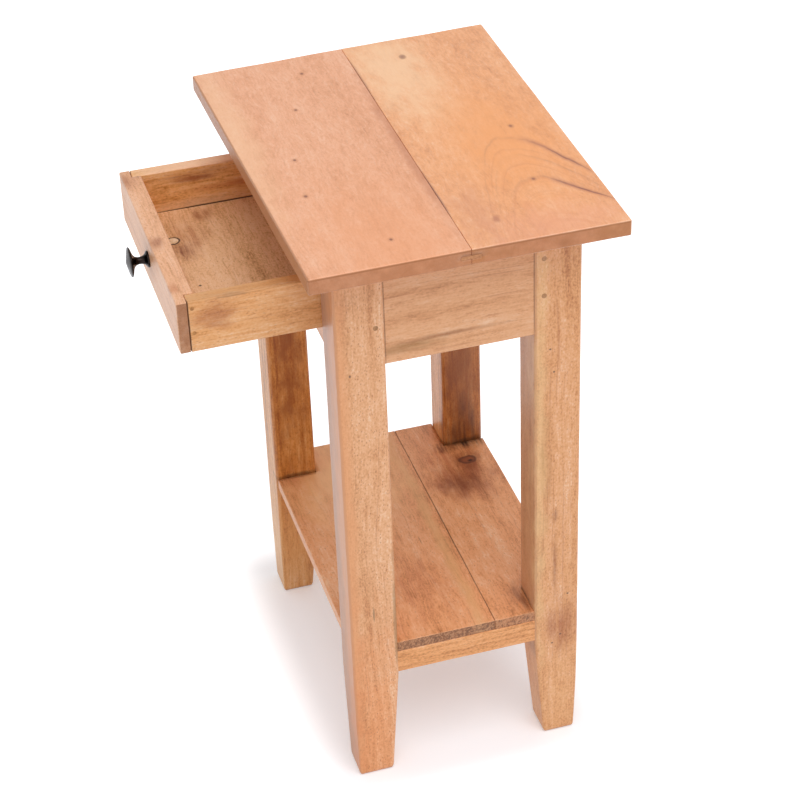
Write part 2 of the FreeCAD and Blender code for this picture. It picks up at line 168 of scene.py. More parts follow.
# %% The sky
SKY_LIGHT = 0.66

world = bpy.data.worlds.new("white_studio")
bpy.context.scene.world = world
world.use_nodes = True
sky = world.node_tree
sky.nodes.clear()


def seen_directly(tree):
    """One for camera, glossy and transmission rays, which see the backdrop, and zero for light that falls on
    things."""
    rays = add(tree, "LightPath").node
    shiny = add(tree, "Math", {0: rays.outputs["Is Glossy Ray"], 1: rays.outputs["Is Transmission Ray"]},
                operation="MAXIMUM")
    return add(tree, "Math", {0: rays.outputs["Is Camera Ray"], 1: shiny}, operation="MAXIMUM")


backdrop = add(sky, "Background", {"Color": linear("#ffffff"), "Strength": 1.0})
light = add(sky, "Background", {"Color": linear("#ffffff"), "Strength": SKY_LIGHT})
both = add(sky, "MixShader", {0: seen_directly(sky), 1: light, 2: backdrop})
add(sky, "OutputWorld", {"Surface": both})
print("sky strength", SKY_LIGHT)

# %% The lamp
LAMP_PLACE = (1600.0, 250.0, 3300.0)
LAMP_AIM = (0.0, 0.0, 300.0)
LAMP_SIDE = 2200.0
LAMP_WATTS = 48.0

lamp_data = bpy.data.lights.new("broad_lamp", "AREA")
lamp_data.size = LAMP_SIDE * MILLIMETRE
lamp_data.energy = LAMP_WATTS
lamp_eye = np.array(LAMP_PLACE) * MILLIMETRE
lamp_back = lamp_eye - np.array(LAMP_AIM) * MILLIMETRE
lamp_distance = np.linalg.norm(lamp_back)
lamp_back /= lamp_distance
stand("broad_lamp", lamp_data, lamp_eye, [*level_axes(lamp_back), lamp_back])
bpy.context.scene.view_settings.view_transform = "Standard"
print("lamp adds", round(LAMP_WATTS / (np.pi * lamp_distance) ** 2, 2), "to the sky's", SKY_LIGHT)

# %% [markdown]
# The floor is a pale sheet. A part of what the camera sees of it is its own soft white, which grows outside the
# rectangle that the legs stand on, and the rest is the light that falls on it. So open floor is white, and the shadow
# stays under the table and round its feet.

# %% The floor
FLOOR_SIDE = 9000.0
FLOOR_DROP = 0.2
NEAR_GLOW, FAR_GLOW = 0.24, 0.7
GLOW_REACH = 54.0
STAND_HALF = (150.0, 98.0, 0.0)

floor_half = FLOOR_SIDE / 2 * MILLIMETRE
floor_corners = floor_half * np.array([(-1, -1, 0), (1, -1, 0), (1, 1, 0), (-1, 1, 0)])
floor_corners[:, 2] = -FLOOR_DROP * MILLIMETRE
floor_mesh = bpy.data.meshes.new("pale_floor")
floor_mesh.from_pydata(floor_corners.tolist(), [], [(0, 1, 2, 3)])
floor = bpy.data.objects.new("pale_floor", floor_mesh)
bpy.context.scene.collection.objects.link(floor)
paper, paper_tree = new_material("white_paper_sweep")
matt = add(paper_tree, "BsdfDiffuse", {"Color": linear("#eff0f5")})
floor_place = add(paper_tree, "TexCoord").node.outputs["Object"]
stand_half = tuple(MILLIMETRE * half for half in STAND_HALF)
mirrored = add(paper_tree, "VectorMath", {0: floor_place}, operation="ABSOLUTE")
beyond = add(paper_tree, "VectorMath", {0: mirrored, 1: stand_half}, **LESS)
outside = add(paper_tree, "VectorMath", {0: beyond, 1: (0.0, 0.0, 0.0)}, operation="MAXIMUM")
floor_way = add(paper_tree, "VectorMath", {0: outside}, operation="LENGTH").node.outputs["Value"]
glow_size = add(paper_tree, "MapRange", {0: floor_way, 1: 0.0, 2: GLOW_REACH * MILLIMETRE, 3: NEAR_GLOW, 4: FAR_GLOW},
                **SMOOTH)
glow_share = add(paper_tree, "Math", {0: seen_directly(paper_tree), 1: glow_size}, **TIMES)
glow = add(paper_tree, "Emission", {"Color": linear("#ffffff"), "Strength": glow_share})
add(paper_tree, "OutputMaterial", {"Surface": add(paper_tree, "AddShader", {0: matt, 1: glow})})
floor_mesh.materials.append(paper)
print("floor", FLOOR_SIDE, "mm square")

# %% [markdown]
# ## How a board is made
# A board could be a cube with a Bevel modifier, but then every arris is equally sharp and every face dead flat.
# Here a board is a block of small cells on a grid. Cells that a saw or chisel took away are left out, and the
# skin is every face between a filled cell and an empty one. The grid lines crowd together at the arrises, where
# one formula bends the corner round, and a smooth random field then moves the skin in and out by tenths of
# a millimetre, as a hand plane and sandpaper do.

# %% A grid for a board
ARRIS_STEPS = 4
HOLDING_LINE = 0.4
FULL_CIRCLE = 2 * np.pi


def grid_lines(low, high, arris_low, arris_high, step, cut_lines):
    """Where grid lines cross one axis. On an arris they lie at arris * tan(angle) for even angles up to 45 degrees,
    so that rounding spaces them evenly, and between the arrises they are about step apart."""
    fan = np.tan(np.linspace(np.pi / 4, 0, ARRIS_STEPS + 1))
    start = low + arris_low * (1 - fan)
    end = high - arris_high * (1 - fan[::-1])
    count = max(2, int(np.ceil((end[0] - start[-1]) / step)) + 1)
    middle = np.linspace(start[-1], end[0], count)
    holding = [start[-1] + HOLDING_LINE, end[0] - HOLDING_LINE]
    lines = np.concatenate([start, holding, middle, end, cut_lines])
    return np.unique(np.round(lines[(lines >= low) & (lines <= high)], 5))


print("lines across a 30 mm board:", grid_lines(0.0, 30.0, 1.0, 1.0, 7.0, []))

# %% The skin of a block
def skin(filled):
    """The faces between a filled cell and an empty one, as rows of four grid corners, turned to face outwards."""
    corners = np.array(filled.shape) + 1
    square = np.array([(0, 0), (1, 0), (1, 1), (0, 1)])
    faces = []
    for axis in range(3):
        first, second = [a for a in range(3) if a != axis]
        padded = np.pad(filled, [(1, 1) if a == axis else (0, 0) for a in range(3)])
        before, after = np.delete(padded, -1, axis), np.delete(padded, 0, axis)
        for wall, outwards in ((before & ~after, 1), (after & ~before, -1)):
            cell = np.argwhere(wall)[:, None, :].repeat(4, axis=1)
            cell[:, :, first] += square[:, 0]
            cell[:, :, second] += square[:, 1]
            quad = np.ravel_multi_index(np.moveaxis(cell, -1, 0), corners)
            turned_back = (outwards < 0) != (axis == 1)
            faces.append(quad[:, ::-1] if turned_back else quad)
    return np.concatenate(faces)


print("a block of 8 cells has", len(skin(np.ones((2, 2, 2), bool))), "faces on its skin")

# %% Unevenness
WAVES = 9
SHORTEST, LONGEST = 0.7, 1.6


def uneven(points, size, seed):
    """Smooth unevenness of about -1 to 1: the mean of sine waves in random directions, each about size long."""
    rng = np.random.default_rng(seed)
    ways = rng.normal(size=(WAVES, 3))
    ways /= np.linalg.norm(ways, axis=1, keepdims=True) * size * rng.uniform(SHORTEST, LONGEST, (WAVES, 1))
    return np.sin(points @ ways.T * FULL_CIRCLE + rng.uniform(0, FULL_CIRCLE, WAVES)).mean(axis=1) * 2


sample_line = np.linspace((0, 0, 0), (300, 0, 0), 200)
print("unevenness along 300 mm:", np.round(uneven(sample_line, 60.0, 1).min(), 2), "to",
      np.round(uneven(sample_line, 60.0, 1).max(), 2))

# %% [markdown]
# The mesh of a piece also carries two numbers at each point, as attributes that the wood can read: how much of
# the end grain shows there, and how far the point is into a worn arris.

# %% Boards as objects
PLANED_SKIN = 0.05
WEAR_SIZE, WAVE_SIZE = 45.0, 60.0
RUB_MEAN, RUB_SPREAD = 0.55, 0.45
TINY = 1e-9
AXES = {"x": 0, "y": 1, "z": 2}


def new_piece(name, points, faces, node, material, attributes=None):
    """A mesh object from points in millimetres. It rides on the body of the CAD node that it replaces."""
    mesh = bpy.data.meshes.new(name)
    mesh.from_pydata((points * MILLIMETRE).tolist(), [], [list(face) for face in faces])
    mesh.polygons.foreach_set("use_smooth", np.ones(len(faces), bool))
    for label, values in (attributes or {}).items():
        mesh.attributes.new(label, "FLOAT", "POINT").data.foreach_set("value", values.astype(np.float32))
    mesh.materials.append(material)
    mesh.update()
    piece = bpy.data.objects.new(name, mesh)
    bpy.context.scene.collection.objects.link(piece)
    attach(piece, node_bodies[node])
    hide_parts(node)
    return piece


def worked_board(node, material, grain, low, high, arris, step=7.0, cuts=(), wear=0.5, wave=0.08, shape=None, seed=1):
    """A board between two corners, with cuts taken out as boxes. The arris is one size, or low and high sizes by axis.

    Rounding: c is the point p drawn back inside the arrises and q = (p - c) / arris, and p moves to
    c + (p - c) * max|q| / |q|. Wear then moves an arris inwards by an uneven amount, and wave moves the faces."""
    low, high = np.array(low, float), np.array(high, float)
    arris_low, arris_high = np.broadcast_to(np.array(arris, float), (2, 3))
    cut_lines = [[edge[axis] for cut in cuts for edge in cut] for axis in range(3)]
    lines = [grid_lines(low[a], high[a], arris_low[a], arris_high[a], step, cut_lines[a]) for a in range(3)]
    centres = np.meshgrid(*[(line[1:] + line[:-1]) / 2 for line in lines], indexing="ij")
    filled = np.ones(centres[0].shape, bool)
    for cut_low, cut_high in cuts:
        inside = [(c > l) & (c < h) for c, l, h in zip(centres, cut_low, cut_high)]
        filled &= ~np.logical_and.reduce(inside)
    used, faces = np.unique(skin(filled), return_inverse=True)
    points = np.stack(np.meshgrid(*lines, indexing="ij"), axis=-1).reshape(-1, 3)[used]
    core = np.clip(points, low + arris_low, high - arris_high)
    reach = points - core
    q = reach / np.where(reach < 0, arris_low, arris_high)
    length = np.linalg.norm(q, axis=1)
    outwards = q / np.maximum(length, TINY)[:, None]
    ratio = np.where(length > 0, np.abs(q).max(axis=1) / np.maximum(length, TINY), 1.0)
    points = core + reach * ratio[:, None]
    worn = 1 - ratio
    rubbing = RUB_MEAN + RUB_SPREAD * uneven(points, WEAR_SIZE, seed)
    points -= outwards * (worn * wear * rubbing)[:, None] * arris_high.max()
    points += outwards * (uneven(points, WAVE_SIZE, seed + 1) * wave - PLANED_SKIN)[:, None]
    if shape:
        points = shape(points)
    touch = {"end_grain": np.abs(outwards[:, AXES[grain]]), "worn_arris": np.clip(worn / worn.max(), 0, 1)}
    return new_piece("worked_" + node, points, faces.reshape(-1, 4), node, material, touch)


print("boards are planed", PLANED_SKIN, "mm under their CAD size")

# %% [markdown]
# ## Oiled hardwood
# The table is made of a plain tropical hardwood, planed, sanded and oiled. Up close it shows pores, which are cut
# vessels that read as short dark dashes along the grain, fibres in fine streaks, and bands where the colour drifts
# from pink to honey. An image could be wrapped round each board, but then the end of a board would not agree with
# its face. Here the wood is a solid: every layer is a pattern in space, stretched along the grain, and a board's
# faces are cuts through it. All layers add up to one tone, and a ramp of listed colours turns that tone into
# wood, so dark always means browner and pale means creamier. Real pores are 0.2 mm wide, too fine to show where
# a pixel is 0.8 mm, so they are drawn about three times as wide.

# %% Where the grain runs
GRAIN_TURN = {"x": (0.0, 0.0, 0.0), "y": (0.0, 0.0, -np.pi / 2), "z": (0.0, np.pi / 2, 0.0)}
LOT_STEP = np.array([413.0, 171.0, 97.0])
SWAY_SIZE, SWAY = (180.0, 55.0), 14.0
CURL_SIZE = (26.0, 15.0)
FIELD_ROUGHNESS = 0.55


def field(tree, along, size, detail=2.0):
    """A soft random field of about 0 to 1, whose features are size[0] mm long with the grain and size[1] mm wide."""
    place = add(tree, "VectorMath", {0: along, 1: (1 / size[0], 1 / size[1], 1 / size[1])}, **TIMES)
    return add(tree, "TexNoise", {"Vector": place, "Scale": 1.0, "Detail": detail, "Roughness": FIELD_ROUGHNESS})


def along_grain(tree, position, grain, lot, curl):
    """Coordinates in mm with x along the grain. The lot moves the board to its own place in the log, and two soft
    fields bend the grain sideways: a slow sway and a short curl."""
    place = add(tree, "Mapping", {"Vector": position, "Rotation": GRAIN_TURN[grain],
                                  "Location": tuple(lot * LOT_STEP)})
    sway = field(tree, place, SWAY_SIZE, 1.0).node.outputs["Color"]
    swayed = add(tree, "VectorMath", {0: sway, 1: (0.0, SWAY, SWAY), 2: place}, **TIMES_PLUS)
    bend = field(tree, place, CURL_SIZE, 2.0).node.outputs["Color"]
    return place, add(tree, "VectorMath", {0: bend, 1: (0.0, curl, curl), 2: swayed}, **TIMES_PLUS)


print("grain directions:", list(GRAIN_TURN))

# %% The layers of wood
LAYER_SIZES = {"bands": (230.0, 26.0), "streaks": (120.0, 4.5), "mottle": (16.0, 8.0), "fibre": (14.0, 1.4),
               "speck": (2.2, 1.6)}
PLAIN = {"bands": 0.9, "streaks": 0.5, "mottle": 0.3, "fibre": 0.65, "speck": 0.55, "lines": 0.25, "pores": 0.42}
LINE_SIZE, RAG_SIZE = (210.0, 2.6), (22.0, 11.0)
RAMP_START, RAMP_END = 0.12, 0.88
LINE_TONE, PORE_TONE = "#a65f38", "#a05a30"
# A step holds where a soft edge starts and ends (1 and 2) and, if they aren't 0 and 1, its values there (3 and 4).
LINE_STEP, DASH_STEP, CHOSEN_STEP = {1: 0.6, 2: 0.7}, {1: 0.38, 2: 0.12}, {1: 0.35, 2: 0.6}


def tone_ramp(tree, tone, tones):
    """Colours for a tone, from dark to pale in even steps."""
    ramp = add(tree, "ValToRGB", {"Fac": tone})
    stops = ramp.node.color_ramp.elements
    shares = np.linspace(RAMP_START, RAMP_END, len(tones))
    for share, hex_colour in zip(shares[1:-1], tones[1:-1]):
        stops.new(share).color = linear(hex_colour)
    for place in (0, len(tones) - 1):
        stops[place].position, stops[place].color = shares[place], linear(tones[place])
    return ramp


def lay(wood, hue, amount, masks, blend="MIX"):
    """Lays a colour over a wood where all the masks agree."""
    tree, share = wood["tree"], amount
    for mask in masks:
        share = add(tree, "Math", {0: mask, 1: share}, **TIMES)
    wood["colour"] = add(tree, "Mix", {0: share, 6: wood["colour"], 7: linear(hue)}, blend_type=blend, **COLOUR_MIX)


def start_wood(name, grain, lot, tones, curl=1.5, pore_size=(4.2, 1.4), **weights):
    """The solid wood of one board, from its tones (dark to pale) and the weights of its layers."""
    weights = {**PLAIN, **weights}
    material, tree = new_material(name)
    metres = add(tree, "TexCoord").node.outputs["Object"]
    position = add(tree, "VectorMath", {0: metres, "Scale": 1 / MILLIMETRE}, operation="SCALE")
    place, along = along_grain(tree, position, grain, lot, curl)
    wood = {"material": material, "tree": tree, "position": position, "along": along}
    tone = 0.5 - sum(weights[layer] for layer in LAYER_SIZES) / 2
    for layer, size in LAYER_SIZES.items():
        wood[layer] = field(tree, along, size)
        tone = add(tree, "Math", {0: wood[layer], 1: weights[layer], 2: tone}, **TIMES_PLUS)
    wood["colour"] = tone_ramp(tree, tone, tones)
    thin = add(tree, "MapRange", {0: field(tree, along, LINE_SIZE), **LINE_STEP}, **SMOOTH)
    lay(wood, LINE_TONE, weights["lines"], [thin])
    cell_place = add(tree, "VectorMath", {0: along, 1: (1 / pore_size[0], 1 / pore_size[1], 1 / pore_size[1])}, **TIMES)
    cells = add(tree, "TexVoronoi", {"Vector": cell_place, "Scale": 1.0}).node.outputs
    dash = add(tree, "MapRange", {0: cells["Distance"], **DASH_STEP}, **SMOOTH)
    chosen = add(tree, "MapRange", {0: cells["Color"], **CHOSEN_STEP}, **SMOOTH)
    wood["pore"] = add(tree, "Math", {0: dash, 1: chosen}, **TIMES)
    lay(wood, PORE_TONE, weights["pores"], [wood["pore"]])
    wood["rag"] = field(tree, place, RAG_SIZE, 4.0)
    return wood


print("layers:", ", ".join(LAYER_SIZES))

# %% [markdown]
# Stains, knots and dents are spots. A spot is a distance from a place, in units of its size, made ragged by a soft
# field that follows the grain. Damp stains multiply the wood's colour, as a thin dark glaze would, and knots replace
# it. Each could be painted on an image, but a spot in space also shows on the next face round the corner.

# %% Spots
STREAK_STEP = {1: 0.35, 2: 0.65, 3: 0.35, 4: 1.0}
STAIN_EDGE = (0.6, 0.0)


def spot(wood, centre, size, ragged=0.6, solid=0.35):
    """A mask round a place: the distance in units of size, made ragged, fades from solid to one."""
    tree = wood["tree"]
    away = add(tree, "VectorMath", {0: wood["position"], 1: centre}, **LESS)
    unit = add(tree, "VectorMath", {0: away, 1: tuple(1 / s for s in size)}, **TIMES)
    far = add(tree, "VectorMath", {0: unit}, operation="LENGTH").node.outputs["Value"]
    torn = add(tree, "Math", {0: wood["rag"], 1: ragged * 2, 2: far}, **TIMES_PLUS)
    return add(tree, "MapRange", {0: torn, 1: 1.0 + ragged, 2: solid + ragged}, **SMOOTH)


def spots(wood, places, size, ragged=0.6):
    """The same mask at several places."""
    mask = spot(wood, places[0], size, ragged)
    for centre in places[1:]:
        mask = add(wood["tree"], "Math", {0: mask, 1: spot(wood, centre, size, ragged)}, operation="MAXIMUM")
    return mask


def paint(wood, *rows):
    """Lays spots on a wood in turn. A row is a centre, a size, how ragged and how solid the spot is, its colour, its
    amount and, where it isn't plain paint, how it blends."""
    for centre, size, ragged, solid, hue, amount, *blend in rows:
        lay(wood, hue, amount, [spot(wood, centre, size, ragged, solid)], *blend)


def stain(wood, *rows):
    """Damp stains: soft ragged spots that lie stronger in some streaks of the grain than in others. A row is a centre,
    a size, a colour and an amount."""
    streaky = add(wood["tree"], "MapRange", {0: wood["streaks"], **STREAK_STEP}, **SMOOTH)
    for centre, size, hue, amount in rows:
        lay(wood, hue, amount, [spot(wood, centre, size, *STAIN_EDGE), streaky], "MULTIPLY")


print("spots are ragged over about", RAG_SIZE, "mm")

# %% [markdown]
# The last step closes a wood. End grain drinks more oil and is darker, and where the saw tore it, it is speckled. Worn
# arrises are rubbed to a lighter tone, and pores are sunk a little below the fibres. The oil film is satin: its
# roughness wanders with the fibres.

# %% Closing a wood
RELIEF_DEPTH, RELIEF_STRENGTH = 0.15, 0.35
PORE_RELIEF, FIBRE_RELIEF = 0.5, 0.6
OIL_IOR = 1.5
SATIN_LESS, SATIN_MORE, SATIN_STEP = 0.06, 0.08, {1: 0.2, 2: 0.8}
END_STEP = {1: 0.6, 2: 0.95}
PATCH_STEP, RUB_STEP = {1: 0.3, 2: 0.65, 3: 0.7, 4: 1.0}, {1: 0.35, 2: 0.65, 3: 0.2, 4: 1.0}
DARK_SPECK_STEP, PALE_SPECK_STEP = {1: 0.5, 2: 0.66}, {1: 0.5, 2: 0.38}


def finish_wood(wood, roughness=0.42, end_tone="#a8683c", end_amount=0.5, wear_tone="#f2c39a", wear_amount=0.25,
                end_specks=0.0):
    """Adds end grain, wear, relief and oil, and returns the material."""
    tree = wood["tree"]
    end = add(tree, "Attribute", attribute_name="end_grain").node.outputs["Fac"]
    worn = add(tree, "Attribute", attribute_name="worn_arris").node.outputs["Fac"]
    end_face = add(tree, "MapRange", {0: end, **END_STEP}, **SMOOTH)
    for mask, layer, step, hue, amount in ((end_face, "rag", PATCH_STEP, end_tone, end_amount),
                                           (end_face, "speck", DARK_SPECK_STEP, "#4e2e16", end_specks),
                                           (end_face, "speck", PALE_SPECK_STEP, "#c9946a", end_specks),
                                           (worn, "rag", RUB_STEP, wear_tone, wear_amount)):
        lay(wood, hue, amount, [mask, add(tree, "MapRange", {0: wood[layer], **step}, **SMOOTH)])
    fibres = add(tree, "Math", {0: wood["fibre"], 1: FIBRE_RELIEF}, **TIMES)
    relief = add(tree, "Math", {0: wood["pore"], 1: -PORE_RELIEF, 2: fibres}, **TIMES_PLUS)
    bump = add(tree, "Bump", {"Height": relief, "Strength": RELIEF_STRENGTH, "Distance": RELIEF_DEPTH * MILLIMETRE})
    satin = {**SATIN_STEP, 3: roughness - SATIN_LESS, 4: roughness + SATIN_MORE}
    rough = add(tree, "MapRange", {0: wood["fibre"], **satin}, **SMOOTH)
    surface = add(tree, "BsdfPrincipled", {"Base Color": wood["colour"], "Roughness": rough, "Normal": bump,
                                           "IOR": OIL_IOR})
    add(tree, "OutputMaterial", {"Surface": surface})
    return wood["material"]


print("pores are sunk", RELIEF_DEPTH, "mm")

# %% [markdown]
# ## The top
# Two planks lie side by side with a loose tongue between them, whose end shows on the edge of the top. The maker's saw
# wandered: the left end is some millimetres out of square. The planks could be drawn as crooked polygons. Here the
# finished boards are pulled by their corners, so that arrises and unevenness go along.

# %% A top that is out of square
GROOVE_ROOM = np.array([10.0, 0.15, 0.15])
TOP_ARRIS, SEAM_ARRIS = 1.6, 0.35
TOP_WAVE = 0.14
LEFT_FRONT, RIGHT_FRONT = np.array([4.8, -5.2]), np.array([0.6, 1.0])
LEFT_BACK, RIGHT_BACK = np.array([-3.5, 1.4]), np.array([0.6, 0.0])
top_low, top_high = cad_corners("top_front_plank")
top_face, top_edge, top_end = top_high[2], top_low[1], top_high[0]
tongue_low, tongue_high = cad_corners("top_tongue")
groove = (tongue_low - GROOVE_ROOM, tongue_high + GROOVE_ROOM)


def out_of_square(points):
    """Moves the corners of the top by given millimetres. The moves blend evenly from end to end, and from the
    outer edge to nothing at the seam."""
    along = (points[:, 0] / top_end + 1)[:, None] / 2
    to_front = np.clip(points[:, 1] / top_edge, 0, None)[:, None]
    to_back = np.clip(-points[:, 1] / top_edge, 0, None)[:, None]
    points[:, :2] += (LEFT_FRONT * (1 - along) + RIGHT_FRONT * along) * to_front
    points[:, :2] += (LEFT_BACK * (1 - along) + RIGHT_BACK * along) * to_back
    return points


def plank(node, wood, roughness, wear, seam_side, seed):
    """One plank of the top, with the tongue's groove cut out of its inner edge."""
    low, high = cad_corners(node)
    arris = np.full((2, 3), TOP_ARRIS)
    arris[seam_side, 1] = SEAM_ARRIS
    oiled = finish_wood(wood, roughness, "#a5622f", 0.75, *wear)
    return worked_board(node, oiled, "x", low, high, arris, cuts=[groove], wave=TOP_WAVE, shape=out_of_square,
                        seed=seed)


print("the left end of the top is", round(abs(LEFT_FRONT - LEFT_BACK)[0], 1), "mm out of square")

# %% [markdown]
# The front plank is pink and plain, with a curly, fine figure, flecks where the plane lifted it, and a few pin knots
# where twigs were. Its long edge is a darker brown, partly where hands have rubbed it and partly painted shade, on the
# side that faces away from the lamp.

# %% The front plank
BEYOND = 400.0
EDGE_SHADE = 0.5
TOP_RECIPE = {"bands": 0.6, "streaks": 0.25, "mottle": 0.5, "fibre": 0.4, "speck": 0.4, "lines": 0.08, "pores": 0.18,
              "pore_size": (3.2, 1.3), "curl": 7.0}
FLECK_SIZE = (7.0, 2.0)
PALE_FLECK_STEP, DULL_FLECK_STEP = {1: 0.52, 2: 0.68}, {1: 0.46, 2: 0.3}
KNOT_RING, KNOT_HEART = (4.8, 3.4, 30.0), (2.3, 1.8, 30.0)
FRONT_KNOTS = [(-140.7, -43.5, top_face), (-80.2, -64.7, top_face), (0.5, -87.0, top_face), (58.2, -93.6, top_face),
               (141.5, -51.2, top_face)]
# END_LINE: a thin dark line under the arris of the right-hand end, partly dirt, partly painted shade of a groove.
END_LINE = ((top_end + 1.0, 0.0, top_face - TOP_ARRIS), (3.0, BEYOND, 1.1), 0.3, 0.3, "#74431f", 0.6)


def flecked(wood):
    """Fine pale and dull flecks, as a plane leaves them on curly grain."""
    fleck = field(wood["tree"], wood["along"], FLECK_SIZE, 3.0)
    lay(wood, "#fad8be", 0.17, [add(wood["tree"], "MapRange", {0: fleck, **PALE_FLECK_STEP}, **SMOOTH)])
    lay(wood, "#c07a54", 0.24, [add(wood["tree"], "MapRange", {0: fleck, **DULL_FLECK_STEP}, **SMOOTH)])


front_top = start_wood("oiled_top_front", "x", 1, ["#c9845a", "#df9c73", "#eaa982", "#efb490", "#f6c8a8"], **TOP_RECIPE)
flecked(front_top)
paint(front_top, ((150.0, -50.0, top_face), (170.0, 90.0, 60.0), 0.4, 0.0, "#ec9f6e", 0.55),
      ((-60.0, -122.0, top_face), (230.0, 26.0, 60.0), 0.5, 0.0, "#f2bf94", 0.55),
      ((20.0, -1.0, top_face), (200.0, 10.0, 60.0), 0.6, 0.0, "#b9724c", 0.6))
lay(front_top, "#cb8660", 0.6, [spots(front_top, FRONT_KNOTS, KNOT_RING, 0.5)])
lay(front_top, "#74432e", 0.75, [spots(front_top, FRONT_KNOTS, KNOT_HEART, 0.4)])
# Painted shade, with the rubbing of hands: the long front edge is darkened to a brown.
edge_slope = (RIGHT_FRONT - LEFT_FRONT)[1] / (2 * top_end)
edge_line = top_edge + (LEFT_FRONT + RIGHT_FRONT)[1] / 2
to_edge = add(front_top["tree"], "VectorMath", {0: front_top["position"], 1: (-edge_slope, 1.0, 0.0)},
              operation="DOT_PRODUCT").node.outputs["Value"]
edge_step = {1: edge_line + TOP_ARRIS, 2: edge_line + EDGE_SHADE}
lay(front_top, "#ad7046", 0.8, [add(front_top["tree"], "MapRange", {0: to_edge, **edge_step}, **SMOOTH)])
paint(front_top, END_LINE)
plank("top_front_plank", front_top, 0.4, ("#f3bf90", 0.15), 1, 11)
print("front plank with", len(FRONT_KNOTS), "pin knots")

# %% [markdown]
# The back plank was sawn close to the bark: its rings come up as nested arches that open to the right. A ring line
# is where a smooth field, the distance past the tip of an arch, has a given value. The lines are faint, and only on
# their far branches does the dark late wood make a brown band.

# %% The arches of the back plank
ARCH_AXIS = 73.5
ARCH_NEAR, ARCH_FAR, ARCH_FLAT = 0.058, 0.03, 0.02
ARCH_SWAY, ARCH_SWAY_SIZE = 9.0, (50.0, 26.0)
FLAT_STEP = {1: 112.0, 2: 142.0, 3: ARCH_FAR, 4: ARCH_FLAT}
SIDE_STEP = {1: -4.0, 2: 4.0, 3: ARCH_NEAR}
ARCHES = [(24.0, 0.9), (52.5, 0.2), (90.0, 1.0)]
RING_SIZE, RING_STEP, INSIDE_STEP = (9.0, 9.0), {1: 0.45, 2: 0.7}, {1: 24.0, 2: 60.0}
back_top = start_wood("oiled_top_back", "x", 2, ["#ca7f4c", "#e09a68", "#eca672", "#f1b182", "#f7c89e"],
                      **{**TOP_RECIPE, "mottle": 0.75})
flecked(back_top)
arch_tree = back_top["tree"]


def arch_field(wood):
    """How far along the plank a place lies from the tip of its arch: x - k * (y - axis)^2, where k is smaller on the
    far side and near the end, plus a little sway. Returns that and how far the place is to the far side."""
    tree = wood["tree"]
    parts = add(tree, "SeparateXYZ", {"Vector": wood["position"]}).node.outputs
    aside = add(tree, "Math", {0: parts["Y"], 1: ARCH_AXIS}, **LESS)
    far_bend = add(tree, "MapRange", {0: parts["X"], **FLAT_STEP}, **SMOOTH)
    bend = add(tree, "MapRange", {0: aside, **SIDE_STEP, 4: far_bend}, **SMOOTH)
    square = add(tree, "Math", {0: aside, 1: aside}, **TIMES)
    bowed = add(tree, "Math", {0: square, 1: bend}, **TIMES)
    back = add(tree, "Math", {0: parts["X"], 1: bowed}, **LESS)
    sway = field(tree, wood["position"], ARCH_SWAY_SIZE, 3.0)
    return add(tree, "Math", {0: sway, 1: ARCH_SWAY * 2, 2: back}, **TIMES_PLUS), aside


arch, aside = arch_field(back_top)
paint(back_top, ((30.0, 75.0, top_face), (170.0, 75.0, 60.0), 0.4, 0.0, "#f3a25f", 0.75),
      ((-120.0, 30.0, top_face), (140.0, 50.0, 60.0), 0.6, 0.0, "#f8cba0", 0.75))
rings = field(arch_tree, add(arch_tree, "CombineXYZ", {"X": arch}), RING_SIZE, 3.0)
ring_shade = add(arch_tree, "MapRange", {0: rings, **RING_STEP}, **SMOOTH)
lay(back_top, "#d58450", 0.35, [ring_shade, add(arch_tree, "MapRange", {0: arch, **INSIDE_STEP}, **SMOOTH)])
print("arches open from x =", [tip for tip, strength in ARCHES])

# %% Ring lines and marks of the back plank
LINE_CORE, LINE_FOOT = 3.2, 10.0
BRANCH_STEP, FADE_STEP = {1: 8.0, 2: 30.0, 3: 0.06, 4: 1.0}, {1: 50.0, 2: 40.0, 3: 0.3, 4: 1.0}
BREAK_SIZE, BREAK_STEP = (26.0, 26.0), {1: 0.38, 2: 0.6, 3: 0.15, 4: 1.0}
BACK_KNOTS = [(-141.4, 43.7, top_face), (6.1, 88.5, top_face), (92.4, 77.0, top_face)]
far_branch = add(arch_tree, "MapRange", {0: aside, **BRANCH_STEP}, **SMOOTH)
faded = add(arch_tree, "MapRange", {0: aside, **FADE_STEP}, **SMOOTH)
breaks = field(arch_tree, back_top["position"], BREAK_SIZE, 3.0)
broken = add(arch_tree, "MapRange", {0: breaks, **BREAK_STEP}, **SMOOTH)
for tip, strength in ARCHES:
    offset = add(arch_tree, "Math", {0: arch, 1: tip + ARCH_SWAY}, **LESS)
    off_line = add(arch_tree, "Math", {0: offset}, operation="ABSOLUTE")
    core = add(arch_tree, "MapRange", {0: off_line, 1: LINE_CORE, 2: 0.0}, **SMOOTH)
    foot = add(arch_tree, "MapRange", {0: off_line, 1: LINE_FOOT, 2: 0.0}, **SMOOTH)
    lay(back_top, "#c07a4c", 0.17, [core, broken])
    lay(back_top, "#b06a50", strength * 0.7, [foot, far_branch, faded])
    lay(back_top, "#7a4432", strength * 0.8, [core, far_branch, faded, broken])
paint(back_top, ((165.0, 70.0, top_face), (50.0, 90.0, 60.0), 0.7, 0.0, "#e9a07c", 0.55),
      ((130.0, 20.0, top_face), (80.0, 26.0, 60.0), 0.7, 0.0, "#d08a66", 0.45),
      ((139.3, 30.7, top_face), (9.0, 5.0, 30.0), 0.9, 0.2, "#a85f45", 0.6))
lay(back_top, "#bd784e", 0.6, [spots(back_top, BACK_KNOTS, KNOT_RING, 0.6)])
lay(back_top, "#824b34", 0.65, [spots(back_top, BACK_KNOTS, KNOT_HEART, 0.4)])
